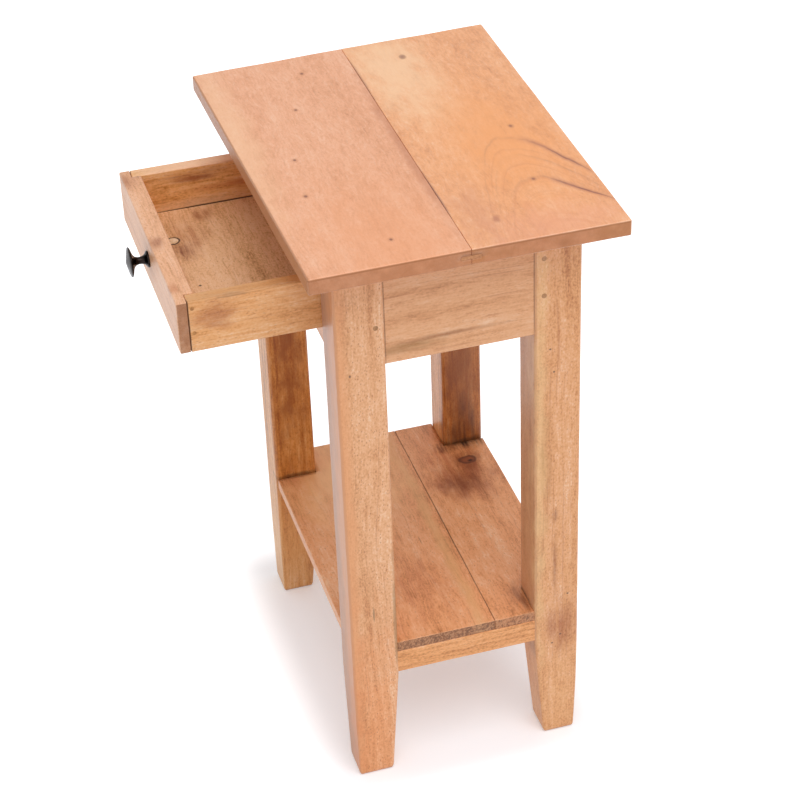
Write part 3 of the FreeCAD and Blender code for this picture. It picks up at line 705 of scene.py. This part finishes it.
# END_LINE here too: partly dirt, partly painted shade under the arris of the end.
paint(back_top, (BACK_KNOTS[0], (5.6, 3.8, 30.0), 0.4, 0.5, "#a5775a", 0.7), END_LINE,
      ((top_end + 0.6, 112.0, top_face - 6.0), (3.0, 24.0, 9.0), 0.4, 0.2, "#dc9c68", 0.6),
      ((top_end + 0.6, 72.0, top_face - 9.0), (3.0, 9.0, 6.0), 0.5, 0.0, "#85502c", 0.55),
      ((90.0, 0.0, top_face), (62.0, 2.2, 40.0), 0.4, 0.2, "#74434a", 0.6),
      ((-110.0, 0.0, top_face), (60.0, 2.6, 40.0), 0.5, 0.2, "#9c5f4a", 0.6))
plank("top_back_plank", back_top, 0.38, ("#fbdcc0", 0.6), 0, 12)
print("back plank with", len(ARCHES), "ring lines")

# %% [markdown]
# ## The legs
# The legs are sawn square, and below the shelf their two inner faces slope in to a slimmer foot. The shape is a
# function of the height: the section shrinks evenly below the shelf rail. A Taper tool could do it too, but then the
# outer faces would lean as much as the inner ones. Two legs came out a millimetre or two wider than drawn, and
# the foot of the back right one leans in.

# %% The shape of a leg
FOOT_SECTION = 29.0
OUTER_LEAN = {(1, 1): 3.0, (1, -1): 0.8, (-1, 1): 1.0, (-1, -1): 1.0}
leg_low, leg_high = cad_corners("leg_back_right")
rail_foot = cad_corners("shelf_rail_right")[0][2]
leg_section = leg_high[0] - leg_low[0]


def tapered_foot(sign_x, sign_y):
    """Below the shelf rail the two inner faces slope outwards, so the section shrinks evenly to the foot, and the
    outer face leans in a little, as the square of the way down."""
    def shape(points):
        drop = np.clip((rail_foot - points[:, 2]) / rail_foot, 0, 1)
        share = 1 - drop * (1 - FOOT_SECTION / leg_section)
        outer = np.array([sign_x * leg_high[0], sign_y * leg_high[1]])
        depth_share = np.clip(sign_y * points[:, 1] - leg_low[1], 0, leg_section) / leg_section
        points[:, :2] = outer + (points[:, :2] - outer) * share[:, None]
        points[:, 1] -= sign_y * OUTER_LEAN[sign_x, sign_y] * drop ** 2 * depth_share
        return points
    return shape


print("foot", FOOT_SECTION, "mm, leg", round(leg_section, 1), "mm")

# %% [markdown]
# Each leg is its own stick with its own colour. The right ones are honey and finely speckled, and a painted
# reflection greys their -y faces. One has grey-brown streaks and a few dark dots. The left ones are honey outside
# and browner on the inside, partly from old oil that was never rubbed off and partly from painted shade, and the
# foot of the front one gets painted light. A dark line of dirt marks the place where the shelf meets a leg.

# %% The woods of the right legs
NEAR_LEG_SPARE, RIGHT_LEG_SPARE = 1.2, 1.5
inner_x, inner_y, leg_face = leg_low[0], leg_low[1], leg_high[0]
right_inner = inner_y - RIGHT_LEG_SPARE
SPECKLED = {"bands": 0.9, "mottle": 0.35, "fibre": 0.55, "speck": 0.95, "pore_size": (3.2, 1.7)}
near_leg = start_wood("oiled_leg_front_right", "z", 3, ["#c08052", "#d89a68", "#e7ac7c", "#efb98e", "#f8d0ac"],
                      streaks=0.6, pores=0.55, **SPECKLED)
# First spot: painted reflection, a grey cast on the leg's -y face and arris, as its grazing sheen shows.
paint(near_leg, ((leg_face, -leg_high[1] - NEAR_LEG_SPARE, 300.0), (90.0, 2.4, 900.0), 0.0, 0.4, "#b0826c", 0.78),
      ((leg_face, -98.0, 250.0), (30.0, 11.0, 500.0), 0.4, 0.3, "#e6a06c", 0.65),
      ((leg_face, -80.0, 50.0), (40.0, 40.0, 170.0), 0.5, 0.0, "#ffd8b0", 0.62, "MULTIPLY"),
      ((leg_face, -88.7, 409.1), (9.0, 1.3, 1.8), 0.2, 0.35, "#5a3a24", 0.8),
      ((leg_face, -79.3, 173.0), (9.0, 1.2, 10.0), 0.4, 0.35, "#6e5a36", 0.6),
      ((leg_face, -inner_y, 165.0), (5.0, 2.6, 80.0), 0.5, 0.35, "#96744c", 0.6))
right_leg = start_wood("oiled_leg_back_right", "z", 4, ["#b47040", "#d08e5a", "#e3a46e", "#eaae80", "#f3c49c"],
                       streaks=0.55, lines=0.3, pores=0.4, **SPECKLED)
# First spot: painted reflection, a grey cast on this leg's -y face and arris, as on the near leg.
paint(right_leg, ((leg_face, right_inner, 300.0), (90.0, 2.4, 900.0), 0.0, 0.4, "#a67a5e", 0.5),
      ((leg_face, 63.5, 300.0), (30.0, 9.0, 330.0), 0.8, 0.0, "#f4cc94", 0.48),
      ((leg_face, 80.0, 30.0), (40.0, 40.0, 80.0), 0.5, 0.0, "#8c5638", 1.0, "SCREEN"))
stain(right_leg, ((leg_face, 70.0, 290.0), (20.0, 8.0, 90.0), "#cdbb9a", 0.7),
      ((leg_face, 84.0, 120.0), (20.0, 22.0, 40.0), "#b98f70", 0.8),
      ((leg_face, 77.0, 190.0), (9.0, 3.6, 44.0), "#a27c56", 0.9),
      ((leg_face, 77.3, 236.0), (9.0, 4.2, 11.0), "#94704f", 0.9))
LEG_DOTS = [(leg_face, 75.3, 376.3), (leg_face, 88.4, 150.5), (leg_face, 82.1, 108.0), (leg_face, 74.8, 100.1),
            (leg_face, 72.1, 398.0)]
lay(right_leg, "#4d3220", 0.85, [spots(right_leg, LEG_DOTS, (9.0, 1.4, 1.2), 0.3)])
print("right leg with", len(LEG_DOTS), "dark dots")

# %% The woods of the left legs
STREAKED = {"streaks": 1.1, "fibre": 0.8, "pores": 0.5}
# INNER_FACE spans a left leg's inner face, which is darkened: partly old oil, partly painted shade.
INNER_FACE = ((14.0, 60.0, 900.0), 0.0, 0.6)
DIRT_LINE = ((26.0, 30.0, 4.0), 0.6, 0.2, "#4a2a14", 0.65)
far_leg = start_wood("oiled_leg_front_left", "z", 5, ["#a3642e", "#c98748", "#dfa062", "#e8b07c", "#f2c59a"],
                     **STREAKED)
# Inner face darkened to deep orange: partly old oil, partly painted shade. The SCREEN spot: painted light on the foot.
paint(far_leg, ((4.0 - inner_x, -80.0, 300.0), *INNER_FACE, "#f0dab0", 1.0, "MULTIPLY"),
      ((-inner_x, -80.0, 320.0), (10.0, 24.0, 240.0), 0.9, 0.0, "#8e4510", 0.8),
      ((-inner_x, -80.0, 25.0), (60.0, 60.0, 125.0), 0.4, 0.3, "#92603e", 1.0, "SCREEN"))
back_leg = start_wood("oiled_leg_back_left", "z", 6, ["#9c5c2a", "#c27e42", "#da985a", "#e6aa76", "#f0c094"],
                      **STREAKED)
# Inner face darkened to deep orange: partly old oil, partly painted shade, as on the front left leg.
paint(back_leg, ((4.0 - inner_x, 80.0, 300.0), *INNER_FACE, "#ead2ae", 1.0, "MULTIPLY"),
      ((-inner_x, 78.0, 220.0), (10.0, 30.0, 190.0), 0.5, 0.0, "#7c3c10", 0.75))
stain(back_leg, ((-inner_x, 80.0, 150.0), (16.0, 40.0, 60.0), "#7d5434", 0.8))
shelf_joint = cad_corners("shelf_back_board")[1][2] + 1.0
for wood, joint in ((far_leg, (-inner_x, -80.0)), (back_leg, (-inner_x, 80.0)),
                    (right_leg, (inner_x + 8.0, right_inner))):
    paint(wood, ((*joint, shelf_joint), *DIRT_LINE))
print("the shelf meets the legs at", round(shelf_joint, 1), "mm")

# %% Four legs
LEG_ARRIS, FOOT_ARRIS, HEAD_ARRIS = 2.6, 4.0, 1.0
leg_woods = {(1, -1): near_leg, (1, 1): right_leg, (-1, -1): far_leg, (-1, 1): back_leg}
low_spare = {(1, -1): NEAR_LEG_SPARE, (1, 1): RIGHT_LEG_SPARE}
high_spare = {(1, -1): NEAR_LEG_SPARE}
for signs, wood in leg_woods.items():
    node = "leg_" + ("back" if signs[1] > 0 else "front") + ("_right" if signs[0] > 0 else "_left")
    low, high = cad_corners(node)
    low[1] -= low_spare.get(signs, 0.0)
    high[1] += high_spare.get(signs, 0.0)
    arris = [(LEG_ARRIS, LEG_ARRIS, FOOT_ARRIS), (LEG_ARRIS, LEG_ARRIS, HEAD_ARRIS)]
    oiled = finish_wood(wood, 0.4, wear_tone="#f0ab70", wear_amount=0.4)
    leg = worked_board(node, oiled, "z", low, high, arris, shape=tapered_foot(*signs),
                       seed=20 + signs[0] + 3 * signs[1])
    print(leg.name, len(leg.data.polygons), "faces")

# %% [markdown]
# ## Aprons and rails
# Boards on edge join the legs. Their tenons are out of sight, so the dressed board runs only from leg to leg.
# The side apron has a grey-green streak low down, the kind that damp leaves in this wood, and a dark line at each leg,
# which is painted shade in the joint.

# %% The side aprons and the shelf rails
RAIL_ARRIS = 0.9
APRON_TONES = ["#b97d50", "#d59868", "#e4a97a", "#e9b48a", "#f0c4a0"]
RAIL_TONES = ["#b26e36", "#d89256", "#eea86c", "#f3b681", "#f7c79e"]


def between(node, axis, reach):
    """The corners of a CAD board that ends at reach either way along an axis, without its tenons or tongues."""
    low, high = cad_corners(node)
    low[axis], high[axis] = -reach, reach
    return low, high


for side, sign in (("right", 1), ("left", -1)):
    low, high = between("side_apron_" + side, 1, inner_y)
    face = high[0] if sign > 0 else low[0]
    apron = start_wood("oiled_side_apron_" + side, "y", 7 + sign, APRON_TONES, lines=0.3, streaks=0.42, speck=0.45,
                       pores=0.3)
    stain(apron, ((face, -46.0, 424.5), (20.0, 50.0, 10.0), "#c0b594", 0.95),
          ((face, -14.0, 430.0), (20.0, 66.0, 2.6), "#a8895f", 0.8))
    # The dark line at each leg is painted shade in the joint.
    joint_y = right_inner if sign > 0 else inner_y
    joints = [(face, -joint_y, 460.0), (face, joint_y, 460.0)]
    lay(apron, "#6a4026", 0.6, [spots(apron, joints, (20.0, 0.8, 90.0), 0.3)])
    worked_board("side_apron_" + side, finish_wood(apron), "y", low, high, RAIL_ARRIS, seed=31 + sign)
    tie = start_wood("oiled_shelf_rail_" + side, "y", 10 + sign, RAIL_TONES, streaks=0.9, speck=0.7, pores=0.5)
    low, high = between("shelf_rail_" + side, 1, inner_y)
    worked_board("shelf_rail_" + side, finish_wood(tie), "y", low, high, RAIL_ARRIS, seed=41 + sign)
print("side aprons run", round(2 * inner_y, 1), "mm between the legs")

# %% The back apron and the front rails
for lot, node in enumerate(("back_apron", "front_upper_rail", "front_lower_rail")):
    rail = start_wood("oiled_" + node, "x", 13 + lot, APRON_TONES, streaks=0.8)
    worked_board(node, finish_wood(rail), "x", *between(node, 0, inner_x), RAIL_ARRIS, seed=45 + lot)
print("rails run", round(2 * inner_x, 1), "mm between the legs")

# %% [markdown]
# ## The shelf
# Two boards of darker wood lie on the shelf rails, notched round the legs with a hair of play. They were cut two or
# three millimetres longer and deeper than drawn, and their sawn ends are brown and torn. The back board has one oval
# knot near its far end: a reddish heart with a black core, and smoky stains round it and round the leg.

# %% The woods of the shelf
SHELF_TONES = ["#b06e40", "#d28d5a", "#e8a26e", "#edae7f", "#f4c39a"]
SHELF_RECIPE = {"mottle": 0.54, "streaks": 0.42, "pores": 0.42, "curl": 5.0}
shelf_low, shelf_high = cad_corners("shelf_back_board")
shelf_face = shelf_high[2]
knot = np.array([-80.5, 75.0, shelf_face])
front_shelf = start_wood("oiled_shelf_front", "x", 17, SHELF_TONES, **SHELF_RECIPE)
# The second spot is painted light: a pale patch on the far-left part, where the top shades the shelf.
paint(front_shelf, ((0.0, 15.0, shelf_face), (BEYOND, 9.0, 30.0), 0.8, 0.0, "#e3ad74", 0.6),
      ((-90.0, -40.0, shelf_face), (110.0, 70.0, 30.0), 0.5, 0.0, "#ffc88e", 0.95))
stain(front_shelf, ((80.0, -20.0, shelf_face), (70.0, 40.0, 30.0), "#bd8a68", 0.45))
paint(front_shelf, ((19.5, -1.8, shelf_face), (9.0, 1.0, 9.0), 0.5, 0.35, "#8a5434", 0.5))
back_shelf = start_wood("oiled_shelf_back", "x", 18, SHELF_TONES, **SHELF_RECIPE)
paint(back_shelf, ((-53.0, 64.0, shelf_face), (48.0, 40.0, 30.0), 0.45, 0.0, "#a47c62", 0.75, "MULTIPLY"),
      ((-46.0, 60.0, shelf_face), (18.0, 26.0, 30.0), 0.6, 0.0, "#a48c78", 0.45, "MULTIPLY"))
stain(back_shelf, ((-75.0, 62.0, shelf_face), (70.0, 44.0, 30.0), "#c98e68", 0.7),
      ((-106.0, 78.0, shelf_face), (15.0, 36.0, 30.0), "#3c332c", 1.0),
      ((123.8, 61.3, shelf_face), (32.0, 22.0, 30.0), "#846858", 0.8))
paint(back_shelf, (knot, (20.0, 18.0, 30.0), 0.8, 0.0, "#8a4a2a", 0.8),
      (knot, (7.2, 9.6, 30.0), 0.3, 0.75, "#5a3020", 0.85), (knot, (5.6, 7.4, 30.0), 0.4, 0.5, "#9a5636", 0.75),
      (knot + (2.0, 1.5, 0.0), (2.6, 3.6, 30.0), 0.5, 0.35, "#241611", 0.9))
print("shelf face at", round(shelf_face, 1), "mm, knot at", np.round(knot, 1))

# %% The shelf boards
NOTCH_GAP = 0.25
LEFT_SPARE, BACK_SPARE = 3.0, 2.0
SHELF_ARRIS, SHELF_WAVE = 0.9, 0.12
SHELF_ENDS = {"shelf_front_board": ("#7c4a26", 0.85), "shelf_back_board": ("#9c6038", 0.75)}
for node, sign, wood in (("shelf_front_board", -1, front_shelf), ("shelf_back_board", 1, back_shelf)):
    paint(wood, ((0.0, shelf_low[1], shelf_face), (BEYOND, 1.0, 30.0), 0.6, 0.0, "#6e4228", 0.6))
    low, high = cad_corners(node)
    low[0] -= LEFT_SPARE
    high[1] += BACK_SPARE * (sign > 0)
    notch_x = inner_x - NOTCH_GAP
    notch_y = sorted((sign * (inner_y - NOTCH_GAP), sign * BEYOND))
    notches = [((notch_x, notch_y[0], -BEYOND), (BEYOND, notch_y[1], BEYOND)),
               ((-BEYOND, notch_y[0], -BEYOND), (-notch_x, notch_y[1], BEYOND))]
    arris = np.full((2, 3), SHELF_ARRIS)
    arris[(1 - sign) // 2, 1] = SEAM_ARRIS
    oiled = finish_wood(wood, 0.42, *SHELF_ENDS[node], end_specks=0.6)
    worked_board(node, oiled, "x", low, high, arris, cuts=notches, wave=SHELF_WAVE, seed=61 + sign)
print("the shelf is", LEFT_SPARE, "mm longer and", BACK_SPARE, "mm deeper than its drawing")

# %% [markdown]
# ## The drawer
# The drawer is plain box work: the front is rabbeted at both ends, and the sides are nailed into the rabbets.
# Inside, the wood never saw much oil. It is brown, with dark stains. Painted shade darkens the joints at the front, the
# crease where the far side meets the bottom and, with a glue line, the ring round the plug.

# %% The drawer front
RABBET_PLAY = 0.35
DRAWER_ARRIS = 1.1
side_low, side_high = cad_corners("drawer_side_right")
front_low, front_high = cad_corners("drawer_front")
rabbet_start = side_low[1] - RABBET_PLAY
rabbets = [((side_low[0], rabbet_start, -BEYOND), (BEYOND, BEYOND, BEYOND * 2)),
           ((-BEYOND, rabbet_start, -BEYOND), (-side_low[0], BEYOND, BEYOND * 2))]
FRONT_TONES = ["#b2784c", "#d79c70", "#e8ae84", "#edba96", "#f3caa8"]
front_wood = start_wood("oiled_drawer_front", "x", 19, FRONT_TONES, streaks=0.7)
stain(front_wood, ((14.3, -204.0, front_high[2]), (16.0, 9.0, 9.0), "#b39078", 0.9),
      ((-90.0, -204.0, front_high[2]), (22.0, 12.0, 9.0), "#bb9a82", 0.9),
      ((84.5, -206.0, front_high[2]), (14.0, 7.0, 9.0), "#dcc0a8", 0.9))
oiled = finish_wood(front_wood, 0.42, "#8f5528", 0.8, "#f0c39c", 0.3)
worked_board("drawer_front", oiled, "x", front_low, front_high, DRAWER_ARRIS, cuts=rabbets, seed=71)
print("drawer front", np.round(front_high - front_low, 1), "mm")

# %% The drawer sides
NEAR_TONES = ["#a0652f", "#ca8848", "#e3a264", "#eab17a", "#f2c499"]
FAR_TONES = ["#a66a2e", "#cf9250", "#e8ad6e", "#eeb982", "#f4cb9e"]
floor_top = cad_corners("drawer_bottom")[1][2]
near_face, far_face, side_top = side_high[0], -side_low[0], side_high[2]
near_cheek = start_wood("oiled_drawer_side_right", "y", 21, NEAR_TONES, streaks=0.7)
paint(near_cheek, ((near_face, -180.0, 463.0), (9.0, 26.0, 18.0), 0.9, 0.0, "#c0905e", 0.4, "MULTIPLY"))
stain(near_cheek, ((near_face, -180.0, 464.0), (9.0, 22.0, 18.0), "#b8865a", 0.6))
paint(near_cheek, ((near_face, -167.0, 476.0), (6.0, 14.0, 1.2), 0.9, 0.35, "#7a4c2c", 0.5),
      ((near_face, -150.0, side_top), (30.0, 120.0, 1.8), 0.4, 0.4, "#b9844e", 0.45))
far_cheek = start_wood("oiled_drawer_side_left", "y", 19, FAR_TONES, streaks=0.8)
stain(far_cheek, ((far_face, -150.0, 468.0), (5.0, 34.0, 10.0), "#955629", 0.85),
      ((far_face, -120.0, 455.0), (5.0, 60.0, 6.0), "#c88a56", 0.7))
# The last spot is painted shade: a near-black line in the crease where the far side meets the bottom.
paint(far_cheek, ((far_face, -145.0, 443.0), (5.0, 60.0, 9.0), 0.6, 0.0, "#dfbfa2", 0.45),
      ((far_face, -110.0, side_top), (30.0, 120.0, 1.6), 0.4, 0.5, "#f0c2a4", 0.6),
      ((far_face, -110.0, floor_top), (3.0, 110.0, 1.4), 0.4, 0.35, "#24160d", 0.9))
# The dark line at the front end of each side is painted shade in its joint with the front's rabbet.
for side, sign, cheek in (("right", 1, near_cheek), ("left", -1, far_cheek)):
    paint(cheek, ((sign * near_face, side_low[1], 455.0), (9.0, 1.2, 60.0), 0.3, 0.35, "#3a2416", 0.85))
    low, high = cad_corners("drawer_side_" + side)
    worked_board("drawer_side_" + side, finish_wood(cheek, 0.45), "y", low, high, DRAWER_ARRIS, seed=75 + sign)
print("drawer sides", np.round(side_high - side_low, 1), "mm")

# %% The drawer bottom and back
BOTTOM_TONES = ["#b07c4c", "#d5a270", "#e9b889", "#eec197", "#f3cea9"]
BOTTOM_ARRIS = 0.3
RIM_WIDTH = 2.0
plug_low, plug_high = cad_corners("drawer_bottom_plug")
plug_centre = (plug_low + plug_high) / 2
plug_radius = (plug_high[0] - plug_low[0]) / 2
rim = plug_radius + RIM_WIDTH
floor_wood = start_wood("dry_drawer_bottom", "x", 23, BOTTOM_TONES, streaks=0.3, speck=0.7, pores=0.4, curl=5.0)
stain(floor_wood, ((-52.0, -168.0, floor_top), (46.0, 26.0, 9.0), "#b58458", 0.8),
      ((-30.0, -174.0, floor_top), (22.0, 13.0, 9.0), "#905a38", 0.8),
      ((-80.0, -146.0, floor_top), (18.0, 12.0, 9.0), "#a87448", 0.8),
      ((0.0, -188.0, floor_top), (120.0, 7.0, 9.0), "#a88060", 0.8))
# The dark ring round the plug is partly a glue line and partly painted shadow at its edge.
paint(floor_wood, ((plug_centre[0], plug_centre[1], floor_top), (rim, rim, 9.0), 0.2, 0.85, "#2e1a0e", 0.9),
      ((27.5, -175.1, floor_top), (1.6, 1.6, 9.0), 0.2, 0.35, "#35241a", 0.9))
low, high = between("drawer_bottom", 0, side_low[0])
low[1] = front_high[1]
worked_board("drawer_bottom", finish_wood(floor_wood, 0.55), "x", low, high, BOTTOM_ARRIS, seed=79)
tail_wood = start_wood("oiled_drawer_back", "x", 24, APRON_TONES, streaks=0.8)
low, high = between("drawer_back", 0, side_low[0])
worked_board("drawer_back", finish_wood(tail_wood), "x", low, high, DRAWER_ARRIS, seed=81)
print("plug of radius", round(plug_radius, 1), "mm at", np.round(plug_centre, 1))

# %% [markdown]
# ## The knob
# The knob is a black iron mushroom on a small flange, turned or cast and then waxed. It is a surface of revolution:
# a profile of distance and radius, smoothed by a curve through its points and swept round the axis. Spin could
# turn it too, but the formula closes both ends in one point. Wax over black iron gives a dark, half-gloss skin.

# %% The profile of the knob
KNOB_PROFILE = np.array([(0.0, 0.53), (0.04, 0.535), (0.09, 0.50), (0.15, 0.36), (0.24, 0.27), (0.38, 0.235),
                         (0.52, 0.26), (0.62, 0.36), (0.70, 0.60), (0.755, 0.85), (0.785, 0.94), (0.815, 0.965),
                         (0.85, 0.93), (0.89, 0.77), (0.935, 0.50), (0.975, 0.23), (1.0, 0.0)])
CURVE_STEPS = 5


def smooth_profile(points, steps):
    """A curve through the points: on each span the cubic whose slopes at both ends are half the step between the
    neighbouring points."""
    padded = np.concatenate([points[:1] * 2 - points[1:2], points, points[-1:] * 2 - points[-2:-1]])
    a, b, c, d = padded[:-3], padded[1:-2], padded[2:-1], padded[3:]
    t = np.linspace(0, 1, steps, endpoint=False)[:, None, None]
    curve = b + t * (c - a) / 2 + t ** 2 * (a - b * 2.5 + c * 2 - d / 2) + t ** 3 * (b * 1.5 - c * 1.5 + (d - a) / 2)
    return np.concatenate([curve.transpose(1, 0, 2).reshape(-1, points.shape[1]), points[-1:]])


knob_curve = smooth_profile(KNOB_PROFILE, CURVE_STEPS)
print("profile of", len(knob_curve), "points")

# %% The knob as a surface of revolution
TURN_STEPS = 64


def turned_piece(centre, reach, radius, profile):
    """A profile turned round an axis that points to -y. Each end closes in one point on the axis."""
    angle = np.linspace(0, FULL_CIRCLE, TURN_STEPS, endpoint=False)
    rings = profile[:-1]
    ring = np.stack([np.outer(rings[:, 1] * radius, np.cos(angle)),
                     np.repeat(-rings[:, :1] * reach, TURN_STEPS, axis=1),
                     np.outer(rings[:, 1] * radius, np.sin(angle))], axis=-1).reshape(-1, 3)
    points = np.concatenate([ring, [(0, 0, 0), (0, -reach, 0)]]) + centre
    row = np.arange(len(rings) - 1)[:, None] * TURN_STEPS
    here = np.arange(TURN_STEPS)
    after = np.roll(here, -1)
    quads = np.stack([row + here, row + here + TURN_STEPS, row + after + TURN_STEPS, row + after], axis=-1)
    last = (len(rings) - 1) * TURN_STEPS
    caps = [np.stack([np.full(TURN_STEPS, len(ring)), here, after], axis=-1),
            np.stack([np.full(TURN_STEPS, len(ring) + 1), last + after, last + here], axis=-1)]
    return points, quads.reshape(-1, 4).tolist() + np.concatenate(caps).tolist()


IRON_GRAIN = 4.0
IRON_RELIEF, IRON_STRENGTH = 0.3, 0.3
IRON_STEP, IRON_GLOSS_STEP = {1: 0.35, 2: 0.7}, {1: 0.3, 2: 0.7, 3: 0.2, 4: 0.34}
iron, iron_tree = new_material("black_waxed_iron")
iron_place = add(iron_tree, "TexCoord").node.outputs["Object"]
iron_cloud = add(iron_tree, "TexNoise", {"Vector": iron_place, "Scale": 1 / (IRON_GRAIN * MILLIMETRE), "Detail": 4.0})
iron_share = add(iron_tree, "MapRange", {0: iron_cloud, **IRON_STEP}, **SMOOTH)
iron_colour = add(iron_tree, "Mix", {0: iron_share, 6: linear("#1d1817"), 7: linear("#302826")}, **COLOUR_MIX)
iron_rough = add(iron_tree, "MapRange", {0: iron_cloud, **IRON_GLOSS_STEP}, **SMOOTH)
iron_bump = add(iron_tree, "Bump", {"Height": iron_cloud, "Strength": IRON_STRENGTH,
                                    "Distance": IRON_RELIEF * MILLIMETRE})
iron_surface = add(iron_tree, "BsdfPrincipled", {"Base Color": iron_colour, "Roughness": iron_rough, "Metallic": 1.0,
                                                 "Normal": iron_bump})
add(iron_tree, "OutputMaterial", {"Surface": iron_surface})
knob_low, knob_high = cad_corners("drawer_knob")
knob_centre = (knob_low + knob_high) / 2
knob_centre[1] = knob_high[1]
knob_radius = (knob_high[0] - knob_low[0]) / 2
knob_points, knob_faces = turned_piece(knob_centre, knob_high[1] - knob_low[1], knob_radius, knob_curve)
new_piece("turned_drawer_knob", knob_points, knob_faces, "drawer_knob", iron)
print("knob of", len(knob_points), "points")

# %% [markdown]
# ## Small parts and hidden parts
# Pegs, the plug, nails and screws keep their CAD shape, which is already what they are: cylinders and heads.
# Pegs show end grain, a disc darker than the leg. The nails are brown with rust and old oil, and the screws are dull
# steel. Runners and battens are sawn wood without oil.

# %% Woods of the small parts
SMALL_WOODS = [("peg_end_grain", "x", 30, 0.5, 0.6, ["#96683f", "#a97a4c", "#b5855a", "#be9068", "#c99c76"]),
               ("pale_plug", "z", 31, 0.5, 0.42, ["#c79a69", "#dcb488", "#e8c49c", "#eeceac", "#f4dabc"]),
               ("sawn_runner", "y", 32, 0.6, 0.42, ["#93683f", "#b58656", "#c99a6a", "#d4aa7d", "#dfbd95"]),
               ("oiled_tongue", "y", 33, 0.5, 0.42, ["#9c6238", "#b4774a", "#c4875a", "#cd946a", "#d6a27c"])]
peg, plug, sawn, tongue = [finish_wood(start_wood(name, grain, lot, tones, speck=0.9, pores=pores), roughness)
                           for name, grain, lot, roughness, pores, tones in SMALL_WOODS]
print(len(SMALL_WOODS), "woods for small parts")

# %% Steel of the nails and screws
STEEL_GRAIN = 2.0
RUST_STEP = {1: 0.4, 2: 0.65}


def rusty_steel(name, bright, dark, metallic, roughness):
    """Steel with a film of rust: patches about two millimetres wide drift between two colours."""
    material, tree = new_material(name)
    place = add(tree, "TexCoord").node.outputs["Object"]
    patches = add(tree, "TexNoise", {"Vector": place, "Scale": 1 / (STEEL_GRAIN * MILLIMETRE), "Detail": 3.0})
    share = add(tree, "MapRange", {0: patches, **RUST_STEP}, **SMOOTH)
    colour = add(tree, "Mix", {0: share, 6: linear(bright), 7: linear(dark)}, **COLOUR_MIX)
    surface = add(tree, "BsdfPrincipled", {"Base Color": colour, "Metallic": metallic, "Roughness": roughness})
    add(tree, "OutputMaterial", {"Surface": surface})
    return material


screw_steel = rusty_steel("dull_screw_steel", "#8b8078", "#5f544c", 0.9, 0.5)
nail_steel = rusty_steel("rust_brown_nail_steel", "#c08850", "#a26e40", 0.2, 0.7)
slot_materials = {"peg_wood": peg, "plug_wood": plug, "inner_wood": sawn, "steel": screw_steel}
kept = {node: slot_materials[node_slots[node]] for node in frame["nodes"] if node_slots[node] in slot_materials}
kept["top_tongue"] = tongue
kept.update({node: nail_steel for node in kept if node.endswith("_nails")})
for node, material in kept.items():
    frame["nodes"][node].data.materials.clear()
    frame["nodes"][node].data.materials.append(material)
print(len(kept), "CAD nodes keep their shape")
